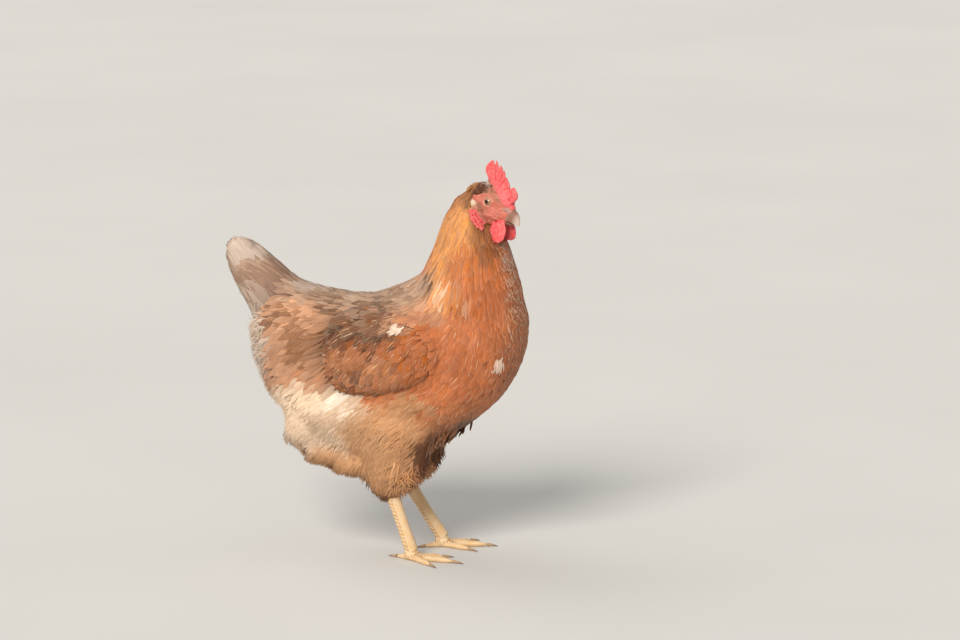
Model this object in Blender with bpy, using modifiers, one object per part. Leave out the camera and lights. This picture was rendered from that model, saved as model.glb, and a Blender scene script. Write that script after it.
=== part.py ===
"""A laying hen, life size, standing with its head turned to its right.

Metres, +Z up. The hen faces +X and its left is +Y. The floor is Z = 0.
Each function makes one part of the bird, and main() fits the parts together with thin gaps between them.
"""

import math

import bmesh
import bpy
from mathutils import Matrix, Vector

# Body, from the rump to the breast: x, back, belly, half width.
BODY_STATIONS = (
    (-0.1640, 0.248, 0.228, 0.014),
    (-0.1570, 0.271, 0.207, 0.034),
    (-0.1430, 0.291, 0.175, 0.050),
    (-0.1280, 0.298, 0.134, 0.059),
    (-0.1060, 0.299, 0.111, 0.066),
    (-0.0760, 0.292, 0.099, 0.071),
    (-0.0420, 0.289, 0.093, 0.073),
    (-0.0050, 0.292, 0.098, 0.074),
    (0.0330, 0.300, 0.115, 0.074),
    (0.0680, 0.305, 0.138, 0.072),
    (0.0970, 0.307, 0.160, 0.066),
    (0.1200, 0.300, 0.184, 0.054),
    (0.1370, 0.284, 0.216, 0.035),
    (0.1435, 0.266, 0.242, 0.013),
)
BACK_SQUARENESS = 2.4
BELLY_SQUARENESS = 2.05

# Neck, a cape of hackles, from its base in the body to the nape: z, back, front, half width, y.
NECK_STATIONS = (
    (0.262, 0.028, 0.140, 0.058, 0.0),
    (0.290, 0.022, 0.138, 0.060, 0.0),
    (0.310, 0.024, 0.134, 0.053, 0.0),
    (0.327, 0.031, 0.129, 0.045, 0.0),
    (0.345, 0.039, 0.123, 0.037, -0.001),
    (0.362, 0.045, 0.115, 0.030, -0.001),
    (0.378, 0.052, 0.106, 0.024, 0.0),
    (0.392, 0.061, 0.100, 0.0185, 0.002),
    (0.403, 0.069, 0.094, 0.0135, 0.004),
)

# Tail: a folded fan, held up behind the rump.
TAIL_ROOT = (-0.128, 0.0, 0.268)
TAIL_TIP = (-0.1895, 0.0, 0.3435)
TAIL_ROOT_DEPTH = 0.0380
TAIL_ROOT_WIDTH = 0.0400
TAIL_TIP_DEPTH = 0.0180
TAIL_TIP_WIDTH = 0.0110

# Planes that part the body. Each is a point and the direction of the piece beyond it.
NECK_CUT = ((0.080, 0.0, 0.286), (0.345, 0.0, 0.939))
TAIL_CUT = ((-0.128, 0.0, 0.278), (-0.640, 0.0, 0.768))
FLUFF_CUT = ((-0.095, 0.0, 0.170), (-0.780, 0.0, -0.626))
SADDLE_CUT = ((-0.060, 0.0, 0.200), (-0.985, 0.0, 0.174))

# Folded wings, as seen from the side.
WING_MIDDLE = (-0.005, 0.236)
WING_HALF_LENGTH = 0.0650
WING_HALF_HEIGHT = 0.0450
WING_PITCH = math.radians(4)
WING_FRONT_TAPER = 0.20
WING_SQUARENESS = 2.6
WING_THICKNESS = 0.0105
WING_BURIED = 0.007

# Legs, the right one first: its foot is under the body and the left one is a short step ahead.
HIPS = ((0.008, -0.0440, 0.190), (0.012, 0.0400, 0.190))
HOCKS = ((-0.006, -0.0360, 0.090), (-0.008, 0.0350, 0.086))
ANKLES = ((0.0210, -0.0350, 0.0105), (0.0400, 0.0370, 0.0105))
KNEE_FORWARD = 0.006
THIGH_HALF_DEPTH = 0.0440
THIGH_HALF_WIDTH = 0.0320
THIGH_OVERHANG = 0.022
THIGH_BLUNTNESS = 3.6
SHANK_HALF_DEPTH = 0.0062
SHANK_HALF_WIDTH = 0.0050
HOCK_SWELL = 0.0026

# Toes: the angle outwards from straight ahead, the length without the claw, and the radius at the root.
TOES = {
    "inner": (-33, 0.0370, 0.0046),
    "middle": (2, 0.0500, 0.0050),
    "outer": (38, 0.0390, 0.0046),
    "hind": (-162, 0.0210, 0.0040),
}
FOOT_TURN = (math.radians(-7), math.radians(9))
TOE_TIP_SHARE = 0.66
PAD_SWELL = 0.10
PAD_COUNT = {"inner": 2, "middle": 3, "outer": 3, "hind": 1}
SOLE_SUNK = 0.0009
CLAW_LENGTH = 0.0120
CLAW_ROOT_SHARE = 0.12
CLAW_RADIUS = 0.0022
CLAW_TIP_RADIUS = 0.0006

# Head, in its own frame: x to the bill, y to the hen's left, z up, from the middle of the skull.
HEAD_PLACE = (0.1030, -0.0060, 0.3950)
HEAD_TURN = math.radians(-28)
HEAD_PITCH = math.radians(20)
# Stations from the back of the skull to the root of the bill: x, crown, throat, half width.
HEAD_STATIONS = (
    (-0.0300, 0.0050, -0.0080, 0.0060),
    (-0.0235, 0.0130, -0.0145, 0.0125),
    (-0.0100, 0.0190, -0.0175, 0.0160),
    (0.0050, 0.0195, -0.0170, 0.0156),
    (0.0160, 0.0165, -0.0160, 0.0130),
    (0.0250, 0.0110, -0.0145, 0.0096),
    (0.0320, 0.0050, -0.0120, 0.0068),
)
EYE_PLACE = (0.0068, 0.0106, 0.0035)
EYE_RADIUS = 0.0061
LOBE_PLACE = (-0.0105, 0.0155, -0.0080)
LOBE_HALF_SIZE = (0.0050, 0.0026, 0.0070)

# Bill: the upper half hooks over the lower one. Both meet along the gape.
BILL_ROOT_X = 0.0235
BILL_TIP_X = 0.0455
BILL_UPPER_DEPTH = 0.0132
BILL_LOWER_DEPTH = 0.0052
BILL_HALF_WIDTH = 0.0074
BILL_GAPE_Z = -0.0088
BILL_HOOK = 0.0012
BILL_LOWER_TIP_X = 0.0405
BILL_GAP = 0.0004

# Comb: a single blade in the head's middle plane, given by its edge as x, z, half thickness.
# It runs from behind the crown over the rear lobe, the five points and the front lobe to the bill.
COMB_EDGE = (
    (-0.0075, 0.0165, 0.0030),
    (-0.0120, 0.0235, 0.0022),
    (-0.0165, 0.0265, 0.0016),
    (-0.0185, 0.0310, 0.0014),
    (-0.0170, 0.0360, 0.0012),
    (-0.0140, 0.0410, 0.0010),
    (-0.0115, 0.0432, 0.0009),
    (-0.0092, 0.0400, 0.0012),
    (-0.0060, 0.0358, 0.0016),
    (-0.0072, 0.0410, 0.0012),
    (-0.0076, 0.0448, 0.0009),
    (-0.0038, 0.0412, 0.0012),
    (0.0004, 0.0357, 0.0016),
    (-0.0004, 0.0395, 0.0012),
    (-0.0005, 0.0428, 0.0009),
    (0.0030, 0.0392, 0.0012),
    (0.0060, 0.0335, 0.0016),
    (0.0058, 0.0365, 0.0012),
    (0.0064, 0.0390, 0.0009),
    (0.0090, 0.0352, 0.0012),
    (0.0110, 0.0300, 0.0016),
    (0.0118, 0.0336, 0.0009),
    (0.0156, 0.0300, 0.0012),
    (0.0210, 0.0238, 0.0018),
    (0.0246, 0.0276, 0.0010),
    (0.0285, 0.0254, 0.0013),
    (0.0325, 0.0215, 0.0015),
    (0.0333, 0.0180, 0.0017),
    (0.0318, 0.0140, 0.0022),
    (0.0285, 0.0085, 0.0030),
)
COMB_ROOT = ((0.0210, 0.0080), (0.0080, 0.0140))
COMB_ROOT_THICKNESS = 0.0034

# Wattles hang straight down from the sides of the lower bill.
WATTLE_ROOT = (0.0250, 0.0062, -0.0125)
WATTLE_LENGTH = 0.0270
WATTLE_HALF_WIDTH = 0.0100
WATTLE_HALF_THICKNESS = 0.0018
WATTLE_SPLAY = math.radians(13)

GAP = 0.0004
BLEND_VOXEL = 0.0040
BLEND_PASSES = 14
BODY_TRIANGLES = 1800
FOOT_VOXEL = 0.0011
FOOT_TRIANGLES = 430

# Colour, roughness of each finish.
FINISHES = {
    "plumage": ((0.52, 0.25, 0.11), 0.75),
    "wing_plumage": ((0.42, 0.18, 0.08), 0.75),
    "thigh_plumage": ((0.66, 0.38, 0.20), 0.8),
    "saddle_plumage": ((0.64, 0.38, 0.22), 0.8),
    "fluff": ((0.74, 0.48, 0.29), 0.85),
    "tail_plumage": ((0.78, 0.62, 0.47), 0.75),
    "face_skin": ((0.62, 0.16, 0.12), 0.5),
    "comb_skin": ((0.75, 0.09, 0.08), 0.45),
    "lobe_skin": ((0.80, 0.70, 0.60), 0.55),
    "bill_horn": ((0.62, 0.45, 0.25), 0.35),
    "leg_scale": ((0.78, 0.58, 0.28), 0.5),
    "claw_horn": ((0.55, 0.42, 0.28), 0.4),
    "eye": ((0.55, 0.28, 0.06), 0.1),
}


def clear_scene():
    for obj in list(bpy.data.objects):
        bpy.data.objects.remove(obj)


def material(name):
    """The Principled material of one finish, made on first use."""
    found = bpy.data.materials.get(name)
    if found:
        return found
    colour, roughness = FINISHES[name]
    made = bpy.data.materials.new(name)
    made.use_nodes = True
    shader = made.node_tree.nodes["Principled BSDF"]
    shader.inputs["Base Color"].default_value = (*colour, 1)
    shader.inputs["Roughness"].default_value = roughness
    return made


def add(name, bm, collection, finish=None):
    """A named object in the collection from a bmesh, which is freed."""
    mesh = bpy.data.meshes.new(name)
    bmesh.ops.recalc_face_normals(bm, faces=bm.faces)
    bm.to_mesh(mesh)
    bm.free()
    obj = bpy.data.objects.new(name, mesh)
    collection.objects.link(obj)
    if finish:
        mesh.materials.append(material(finish))
        mesh.shade_smooth()
        mesh.set_sharp_from_angle(angle=math.radians(40))
    return obj


def mix(a, b, t):
    return a + (b - a) * t


def power(value, exponent):
    """A signed power, for superellipses."""
    return math.copysign(abs(value) ** exponent, value)


def through(rows, t):
    """A smooth curve through rows of numbers, at t from 0 to 1."""
    at = t * (len(rows) - 1)
    i = min(int(at), len(rows) - 2)
    f = at - i
    before, start = rows[max(i - 1, 0)], rows[i]
    end, after = rows[i + 1], rows[min(i + 2, len(rows) - 1)]
    found = []
    for a, b, c, d in zip(before, start, end, after):
        found.append(b + 0.5 * f * (c - a + f * (2 * a - 5 * b + 4 * c - d + f * (3 * (b - c) + d - a))))
    return found


def loft(rings):
    """A closed bmesh through rings of points, each end closed by a fan from its middle."""
    bm = bmesh.new()
    rows = [[bm.verts.new(p) for p in ring] for ring in rings]
    for low, high in zip(rows, rows[1:]):
        for k in range(len(low)):
            n = (k + 1) % len(low)
            bm.faces.new((low[k], low[n], high[n], high[k]))
    for row in (rows[0], rows[-1]):
        middle = bm.verts.new(sum((v.co for v in row), Vector()) / len(row))
        for k in range(len(row)):
            bm.faces.new((row[k], row[(k + 1) % len(row)], middle))
    return bm


def oval(middle, across, up, half_width, rise, drop, count, top_square=2.0, low_square=2.0):
    """A ring of points round middle. Its upper and lower halves have their own height and squareness."""
    points = []
    for k in range(count):
        angle = 2 * math.pi * k / count
        c, s = math.cos(angle), math.sin(angle)
        square = top_square if s >= 0 else low_square
        height = rise if s >= 0 else drop
        side = across * (half_width * power(c, 2 / square))
        points.append(middle + side + up * (height * power(s, 2 / square)))
    return points


def evaluated_mesh(obj):
    graph = bpy.context.evaluated_depsgraph_get()
    return bpy.data.meshes.new_from_object(obj.evaluated_get(graph))


def bake_modifiers(obj):
    """Puts the evaluated mesh in place of the object's mesh and clears its modifiers."""
    bpy.context.view_layer.update()
    mesh = evaluated_mesh(obj)
    obj.modifiers.clear()
    obj.data = mesh


def boolean(obj, other, operation):
    step = obj.modifiers.new(operation.lower(), "BOOLEAN")
    step.operation = operation
    step.solver = "EXACT"
    step.object = other
    bake_modifiers(obj)


def merged(pieces, voxel, passes, triangles):
    """Closed pieces melted into the first one by a voxel remesh, smoothed, then thinned to about that many triangles."""
    whole = pieces[0]
    for piece in pieces[1:]:
        boolean(whole, piece, "UNION")
        bpy.data.objects.remove(piece)
    remesh = whole.modifiers.new("melt", "REMESH")
    remesh.mode = "VOXEL"
    remesh.voxel_size = voxel
    smooth = whole.modifiers.new("smooth", "SMOOTH")
    smooth.factor = 0.5
    smooth.iterations = passes
    bake_modifiers(whole)
    thin = whole.modifiers.new("thin", "DECIMATE")
    thin.ratio = triangles / (2 * len(whole.data.polygons))
    bake_modifiers(whole)
    return whole


def grown(obj, by):
    """A hidden copy of a solid, larger all round, to cut its neighbours with."""
    cutter = bpy.data.objects.new(obj.name + "_cutter", obj.data.copy())
    cutter.matrix_world = obj.matrix_world
    cutter.hide_render = True
    cutter.display_type = "WIRE"
    bpy.data.collections["cutters"].objects.link(cutter)
    swell = cutter.modifiers.new("swell", "DISPLACE")
    swell.strength = by
    swell.mid_level = 0
    bake_modifiers(cutter)
    return cutter


def clear_of(obj, others):
    """Cuts the object back from its neighbours by the gap."""
    for other in others:
        boolean(obj, grown(other, GAP), "DIFFERENCE")


def beyond(obj, name, cut, keep_far, collection, finish):
    """A new object: the part of a solid on one side of a cut, half a gap back from it, with the cut face closed."""
    point, normal = Vector(cut[0]), Vector(cut[1]).normalized()
    bm = bmesh.new()
    bm.from_mesh(obj.data)
    back = point + normal * (GAP / 2 if keep_far else -GAP / 2)
    bmesh.ops.bisect_plane(
        bm,
        geom=bm.verts[:] + bm.edges[:] + bm.faces[:],
        dist=1e-7,
        plane_co=back,
        plane_no=normal,
        clear_inner=keep_far,
        clear_outer=not keep_far,
    )
    rim = [e for e in bm.edges if e.is_boundary]
    bmesh.ops.triangle_fill(bm, use_beauty=True, edges=rim, normal=normal)
    return add(name, bm, collection, finish)


def body_section(x):
    """Middle height, half height and half width of the body at one place along it."""
    rows = BODY_STATIONS
    i = next((k for k in range(len(rows) - 1) if rows[k + 1][0] >= x), len(rows) - 2)
    share = max(0.0, min(1.0, (x - rows[i][0]) / (rows[i + 1][0] - rows[i][0])))
    _, back, belly, width = through(rows, (i + share) / (len(rows) - 1))
    return (back + belly) / 2, (back - belly) / 2, width


def body_side(x, z):
    """How far the body's side stands from the middle plane at a place seen from the side."""
    axis, depth, width = body_section(x)
    square = BACK_SQUARENESS if z > axis else BELLY_SQUARENESS
    share = min(1.0, abs(z - axis) / depth)
    return width * (1 - share**square) ** (1 / square)


def body(collection):
    stations, points = 36, 48
    rings = []
    for k in range(stations + 1):
        x, back, belly, width = through(BODY_STATIONS, k / stations)
        middle, depth = (back + belly) / 2, (back - belly) / 2
        rings.append(
            oval(
                Vector((x, 0, middle)),
                Vector((0, 1, 0)),
                Vector((0, 0, 1)),
                width,
                depth,
                depth,
                points,
                BACK_SQUARENESS,
                BELLY_SQUARENESS,
            )
        )
    return add("body", loft(rings), collection)


def neck(collection):
    stations, points = 24, 40
    rings = []
    for k in range(stations + 1):
        z, back, front, width, y = through(NECK_STATIONS, k / stations)
        middle = Vector(((back + front) / 2, y, z))
        depth = (front - back) / 2
        rings.append(oval(middle, Vector((1, 0, 0)), Vector((0, 1, 0)), depth, width, width, points))
    return add("neck_core", loft(rings), collection)


def tail(collection):
    stations, points = 18, 32
    root, tip = Vector(TAIL_ROOT), Vector(TAIL_TIP)
    along = (tip - root).normalized()
    up = Vector((0, 1, 0)).cross(along)
    up = up if up.z > 0 else -up
    rings = []
    for k in range(stations + 1):
        t = math.sin(math.pi / 2 * k / stations)
        close = math.sqrt(1 - t**9) if t < 1 else 0.12
        depth = mix(TAIL_ROOT_DEPTH, TAIL_TIP_DEPTH, t) * close
        width = mix(TAIL_ROOT_WIDTH, TAIL_TIP_WIDTH, t**0.8) * close
        rings.append(
            oval(root.lerp(tip, t), Vector((0, 1, 0)), up, width, depth, depth, points, 1.8, 2.2)
        )
    return add("tail_core", loft(rings), collection)


def wing(name, side, collection):
    """A closed shell over the body's side, thick in the middle and steep at its rim."""
    rings_out, points = 7, 24
    turn = Matrix.Rotation(WING_PITCH, 2)

    def outline(share, angle):
        square = 2 / WING_SQUARENESS
        flat = Vector(
            (
                WING_HALF_LENGTH * power(math.cos(angle), square),
                WING_HALF_HEIGHT * power(math.sin(angle), square) * (1 - WING_FRONT_TAPER * math.cos(angle)),
            )
        )
        return Vector(WING_MIDDLE) + turn @ flat * share

    def surface(share, angle, lift):
        flat = outline(share, angle)
        return Vector((flat.x, side * (body_side(flat.x, flat.y) + lift), flat.y))

    bm = bmesh.new()
    rows = []
    for k in range(1, rings_out + 1):
        share = math.sin(math.pi / 2 * k / rings_out)
        lift = WING_THICKNESS * (1 - share**5) ** 0.5
        rows.append([bm.verts.new(surface(share, 2 * math.pi * j / points, lift)) for j in range(points)])
    for share in (0.94, 0.5):
        rows.append(
            [bm.verts.new(surface(share, 2 * math.pi * j / points, -WING_BURIED)) for j in range(points)]
        )
    for low, high in zip(rows, rows[1:]):
        for j in range(points):
            n = (j + 1) % points
            bm.faces.new((low[j], low[n], high[n], high[j]))
    for row, lift in ((rows[0], WING_THICKNESS), (rows[-1], -WING_BURIED)):
        middle = bm.verts.new(surface(0.0, 0.0, lift))
        for j in range(points):
            bm.faces.new((row[j], row[(j + 1) % points], middle))
    return add(name, bm, collection, "wing_plumage")


def thigh(name, hip, hock, collection):
    """The feathered drumstick: widest under the body, blunt where its feathers end round the hock."""
    stations, points = 9, 18
    top, end = Vector(hip), Vector(hock)
    end.z -= THIGH_OVERHANG
    rings = []
    for k in range(stations + 1):
        t = math.sin(math.pi / 2 * k / stations)
        swell = max(0.12, (1 - t**THIGH_BLUNTNESS) ** (1 / 2)) * (0.70 + 0.30 * min(1, 3.2 * t))
        middle = top.lerp(end, t)
        middle.x += KNEE_FORWARD * math.sin(math.pi * t)
        depth, width = THIGH_HALF_DEPTH * swell, THIGH_HALF_WIDTH * swell
        rings.append(oval(middle, Vector((1, 0, 0)), Vector((0, 1, 0)), depth, width, width, points))
    return add(name, loft(rings), collection, "thigh_plumage")


def shank(name, hock, ankle, collection):
    stations, points = 7, 10
    top, end = Vector(hock), Vector(ankle)
    along = (end - top).normalized()
    side = Vector((0, 1, 0))
    front = side.cross(along).normalized()
    rings = []
    for k in range(stations + 1):
        t = k / stations
        swell = HOCK_SWELL * (math.exp(-((t / 0.16) ** 2)) + 0.6 * math.exp(-(((1 - t) / 0.14) ** 2)))
        rings.append(
            oval(
                top.lerp(end, t),
                side,
                front,
                SHANK_HALF_WIDTH + swell,
                SHANK_HALF_DEPTH + swell,
                SHANK_HALF_DEPTH + swell,
                points,
            )
        )
    return add(name, loft(rings), collection, "leg_scale")


def toe_line(ankle, turn, mirrored, toe):
    """Root, direction and end of a toe on the floor."""
    angle, length, radius = TOES[toe]
    heading = turn + math.radians(angle) * (-1 if mirrored else 1) * -1
    direction = Vector((math.cos(heading), math.sin(heading), 0))
    root = Vector((ankle[0], ankle[1], radius - SOLE_SUNK))
    return root, direction, root + direction * length


def toe(ankle, turn, mirrored, name, collection):
    """One toe as a row of soft pads."""
    _, length, radius = TOES[name]
    root, direction, _ = toe_line(ankle, turn, mirrored, name)
    side = Vector((-direction.y, direction.x, 0))
    steps, points = 14, 12
    rings = []
    for k in range(steps + 1):
        t = k / steps
        pad = 1 + PAD_SWELL * math.cos(2 * math.pi * (PAD_COUNT[name] * t - 0.25))
        close = math.sqrt(1 - t**8) if t < 1 else 0.3
        r = mix(radius, radius * TOE_TIP_SHARE, t) * pad * close
        height = mix(radius, radius * TOE_TIP_SHARE, t) - SOLE_SUNK
        middle = root + direction * (length * t)
        middle.z = height
        rings.append(oval(middle, side, Vector((0, 0, 1)), r, r, r, points))
    return add(f"toe_{name}", loft(rings), collection)


def foot(name, ankle, turn, mirrored, collection):
    """The pad under the shank with its toes, cut level where it stands."""
    bpy.ops.mesh.primitive_uv_sphere_add(segments=20, ring_count=12, radius=1)
    pad = bpy.context.object
    pad.name = name
    for old in list(pad.users_collection):
        old.objects.unlink(pad)
    collection.objects.link(pad)
    pad.data.transform(Matrix.Diagonal((0.0082, 0.0074, 0.0078, 1)))
    pad.data.transform(Matrix.Translation((ankle[0], ankle[1], 0.0068)))
    pieces = [pad] + [toe(ankle, turn, mirrored, t, collection) for t in TOES]
    whole = merged(pieces, FOOT_VOXEL, 3, FOOT_TRIANGLES)
    bm = bmesh.new()
    bm.from_mesh(whole.data)
    bmesh.ops.bisect_plane(
        bm,
        geom=bm.verts[:] + bm.edges[:] + bm.faces[:],
        dist=1e-7,
        plane_co=(0, 0, 0),
        plane_no=(0, 0, -1),
        clear_outer=True,
    )
    rim = [e for e in bm.edges if e.is_boundary]
    bmesh.ops.triangle_fill(bm, use_beauty=True, edges=rim, normal=(0, 0, -1))
    bpy.data.objects.remove(whole)
    return add(name, bm, collection, "leg_scale")


def claw(name, ankle, turn, mirrored, toe_name, collection):
    """A curved horn cone from the end of a toe, its tip just off the floor."""
    _, direction, end = toe_line(ankle, turn, mirrored, toe_name)
    side = Vector((-direction.y, direction.x, 0))
    radius = TOES[toe_name][2] * TOE_TIP_SHARE
    start_z = radius - SOLE_SUNK
    steps, points = 5, 6
    rings = []
    for k in range(steps + 1):
        t = k / steps
        r = mix(CLAW_RADIUS, CLAW_TIP_RADIUS, t)
        middle = end + direction * (CLAW_LENGTH * (t - CLAW_ROOT_SHARE))
        middle.z = max(r, mix(start_z, CLAW_TIP_RADIUS, t * t))
        rings.append(oval(middle, side, Vector((0, 0, 1)), r * 0.8, r, r, points))
    return add(name, loft(rings), collection, "claw_horn")


def head_frame():
    """The head's own frame in the hen's."""
    turn = Matrix.Rotation(HEAD_TURN, 4, "Z") @ Matrix.Rotation(HEAD_PITCH, 4, "Y")
    return Matrix.Translation(HEAD_PLACE) @ turn


def in_head(bm):
    bmesh.ops.transform(bm, matrix=head_frame(), verts=bm.verts)
    return bm


def head(collection):
    stations, points = 12, 22
    rings = []
    for k in range(stations + 1):
        x, crown, throat, width = through(HEAD_STATIONS, k / stations)
        middle = mix(throat, crown, 0.46)
        rings.append(
            oval(
                Vector((x, 0, middle)),
                Vector((0, 1, 0)),
                Vector((0, 0, 1)),
                width,
                crown - middle,
                middle - throat,
                points,
                2.1,
                2.2,
            )
        )
    return add("head", in_head(loft(rings)), collection, "face_skin")


def bill_half(name, upper, collection):
    """One half of the bill: arched on its outer side and nearly flat along the gape."""
    stations, points = 8, 12
    tip_x = BILL_TIP_X if upper else BILL_LOWER_TIP_X
    rings = []
    for k in range(stations + 1):
        t = math.sin(math.pi / 2 * k / stations)
        taper = (1 - t**3) ** 0.5
        x = mix(BILL_ROOT_X, tip_x, t)
        width = max(0.0009, BILL_HALF_WIDTH * taper**1.2 * (1.0 if upper else 0.84))
        if upper:
            rise, drop = max(0.0009, BILL_UPPER_DEPTH * taper), 0.0008
            middle = BILL_GAPE_Z + BILL_GAP / 2 + drop - BILL_HOOK * t**6
        else:
            rise, drop = 0.0008, max(0.0009, BILL_LOWER_DEPTH * taper)
            middle = BILL_GAPE_Z - BILL_GAP / 2 - rise - BILL_HOOK * 0.5
        rings.append(
            oval(Vector((x, 0, middle)), Vector((0, 1, 0)), Vector((0, 0, 1)), width, rise, drop, points)
        )
    return add(name, in_head(loft(rings)), collection, "bill_horn")


def comb(collection):
    """A blade, thick where it grows from the skull and thin at its points, with a chamfered rim."""
    outline = list(COMB_EDGE) + [(x, z, COMB_ROOT_THICKNESS) for x, z in COMB_ROOT]
    bm = bmesh.new()
    rims = [[bm.verts.new((x, side * half * 0.45, z)) for x, z, half in outline] for side in (1, -1)]
    faces = []
    for side in (1, -1):
        inner = []
        for k, (x, z, half) in enumerate(outline):
            before, after = outline[k - 1], outline[(k + 1) % len(outline)]
            along = Vector((after[0] - before[0], after[1] - before[1])).normalized()
            inward = Vector((along.y, -along.x)) * half * 0.45
            inner.append(bm.verts.new((x + inward.x, side * half, z + inward.y)))
        faces.append(inner)
    for rim, inner in zip(rims, faces):
        for k in range(len(outline)):
            n = (k + 1) % len(outline)
            bm.faces.new((rim[k], rim[n], inner[n], inner[k]))
        bm.faces.new(inner)
    for k in range(len(outline)):
        n = (k + 1) % len(outline)
        bm.faces.new((rims[0][k], rims[0][n], rims[1][n], rims[1][k]))
    bmesh.ops.triangulate(bm, faces=[f for f in bm.faces if len(f.verts) > 4])
    return add("comb", in_head(bm), collection, "comb_skin")


def wattle(name, side, collection):
    """A rounded flap that hangs from beside the lower bill."""
    stations, points = 7, 12
    frame = head_frame()
    root = frame @ Vector((WATTLE_ROOT[0], side * WATTLE_ROOT[1], WATTLE_ROOT[2]))
    outward = (frame.to_3x3() @ Vector((0, side, 0))).normalized()
    forward = (frame.to_3x3() @ Vector((1, 0, 0))).normalized()
    forward = Vector((forward.x, forward.y, 0)).normalized()
    down = (Vector((0, 0, -1)) * math.cos(WATTLE_SPLAY) + outward * math.sin(WATTLE_SPLAY)).normalized()
    flat = down.cross(forward).normalized()
    rings = []
    for k in range(stations + 1):
        t = k / stations
        share = 0.42 + 0.58 * math.sin(math.pi / 2 * min(1, 1.6 * t))
        close = math.sqrt(1 - t**4.5) if t < 1 else 0.12
        thick = WATTLE_HALF_THICKNESS * (1.25 - 0.35 * t) * max(close, 0.35)
        rings.append(
            oval(
                root + down * (WATTLE_LENGTH * t - 0.003),
                forward,
                flat,
                WATTLE_HALF_WIDTH * share * close,
                thick,
                thick,
                points,
            )
        )
    return add(name, loft(rings), collection, "comb_skin")


def ball(name, side, place, half_size, finish, segments, rings, collection):
    """An ellipsoid on one side of the head."""
    bm = bmesh.new()
    bmesh.ops.create_uvsphere(bm, u_segments=segments, v_segments=rings, radius=1)
    turn = Matrix.Rotation(math.pi / 2, 4, "X")
    bmesh.ops.transform(bm, matrix=turn, verts=bm.verts)
    bmesh.ops.transform(bm, matrix=Matrix.Diagonal((*half_size, 1)), verts=bm.verts)
    bmesh.ops.translate(bm, vec=(place[0], side * place[1], place[2]), verts=bm.verts)
    return add(name, in_head(bm), collection, finish)


def centre_on_floor(collection):
    """Moves the hen so that its box stands centred on the origin."""
    low, high = Vector((1e9,) * 3), Vector((-1e9,) * 3)
    for obj in collection.objects:
        for vertex in obj.data.vertices:
            low = Vector(map(min, low, vertex.co))
            high = Vector(map(max, high, vertex.co))
    shift = Vector((-(low.x + high.x) / 2, -(low.y + high.y) / 2, -low.z))
    for obj in collection.objects:
        obj.data.transform(Matrix.Translation(shift))


def main():
    clear_scene()
    hen = bpy.data.collections.new("hen")
    cutters = bpy.data.collections.new("cutters")
    for collection in (hen, cutters):
        bpy.context.scene.collection.children.link(collection)

    skull = head(hen)
    whole = merged([body(hen), neck(hen), tail(hen)], BLEND_VOXEL, BLEND_PASSES, BODY_TRIANGLES)
    boolean(whole, grown(skull, GAP), "DIFFERENCE")

    beyond(whole, "neck", NECK_CUT, True, hen, "plumage")
    rest = beyond(whole, "rest", NECK_CUT, False, hen, "plumage")
    beyond(rest, "tail", TAIL_CUT, True, hen, "tail_plumage")
    rear = beyond(rest, "rear", TAIL_CUT, False, hen, "plumage")
    beyond(rear, "fluff", FLUFF_CUT, True, hen, "fluff")
    upper = beyond(rear, "upper", FLUFF_CUT, False, hen, "plumage")
    beyond(upper, "saddle", SADDLE_CUT, True, hen, "saddle_plumage")
    beyond(upper, "trunk", SADDLE_CUT, False, hen, "plumage")

    for side, name in ((-1, "right"), (1, "left")):
        k = 0 if side < 0 else 1
        drumstick = thigh(f"thigh_{name}", HIPS[k], HOCKS[k], hen)
        clear_of(drumstick, [whole])
        feathers = wing(f"wing_{name}", side, hen)
        clear_of(feathers, [whole, drumstick])
        leg = shank(f"shank_{name}", HOCKS[k], ANKLES[k], hen)
        sole = foot(f"foot_{name}", ANKLES[k], FOOT_TURN[k], side > 0, hen)
        clear_of(leg, [sole, drumstick])
        for toe_name in TOES:
            nail = claw(f"claw_{name}_{toe_name}", ANKLES[k], FOOT_TURN[k], side > 0, toe_name, hen)
            clear_of(nail, [sole])
        eye = ball(f"eye_{name}", side, EYE_PLACE, (EYE_RADIUS,) * 3, "eye", 12, 8, hen)
        boolean(skull, grown(eye, GAP), "DIFFERENCE")
        lobe = ball(f"earlobe_{name}", side, LOBE_PLACE, LOBE_HALF_SIZE, "lobe_skin", 10, 6, hen)
        clear_of(lobe, [skull, bpy.data.objects["neck"]])

    bill = bill_half("bill_upper", True, hen)
    lower = bill_half("bill_lower", False, hen)
    clear_of(bill, [skull])
    clear_of(lower, [skull, bill, bpy.data.objects["neck"]])
    crest = comb(hen)
    clear_of(crest, [skull, bill])
    for side, name in ((-1, "right"), (1, "left")):
        flap = wattle(f"wattle_{name}", side, hen)
        clear_of(flap, [skull, lower, bill, bpy.data.objects["neck"]])

    for helper in (whole, rest, rear, upper):
        bpy.data.objects.remove(helper)
    centre_on_floor(hen)


main()
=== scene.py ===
"""Looks of a laying hen: skin, face, comb, eyes, bill, legs and plumage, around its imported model.

Lengths in the tables are in millimetres, in the hen's own frame: +X the way the body faces, +Y its
left, +Z up, with the origin on the floor. The head has its own frame: x to the bill, y left, z up.
"""

import math

import bmesh
import bpy
import numpy as np
from bpy.props import FloatProperty, FloatVectorProperty, PointerProperty
from mathutils import Matrix, Vector
from mathutils.bvhtree import BVHTree
from mathutils.kdtree import KDTree


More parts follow.
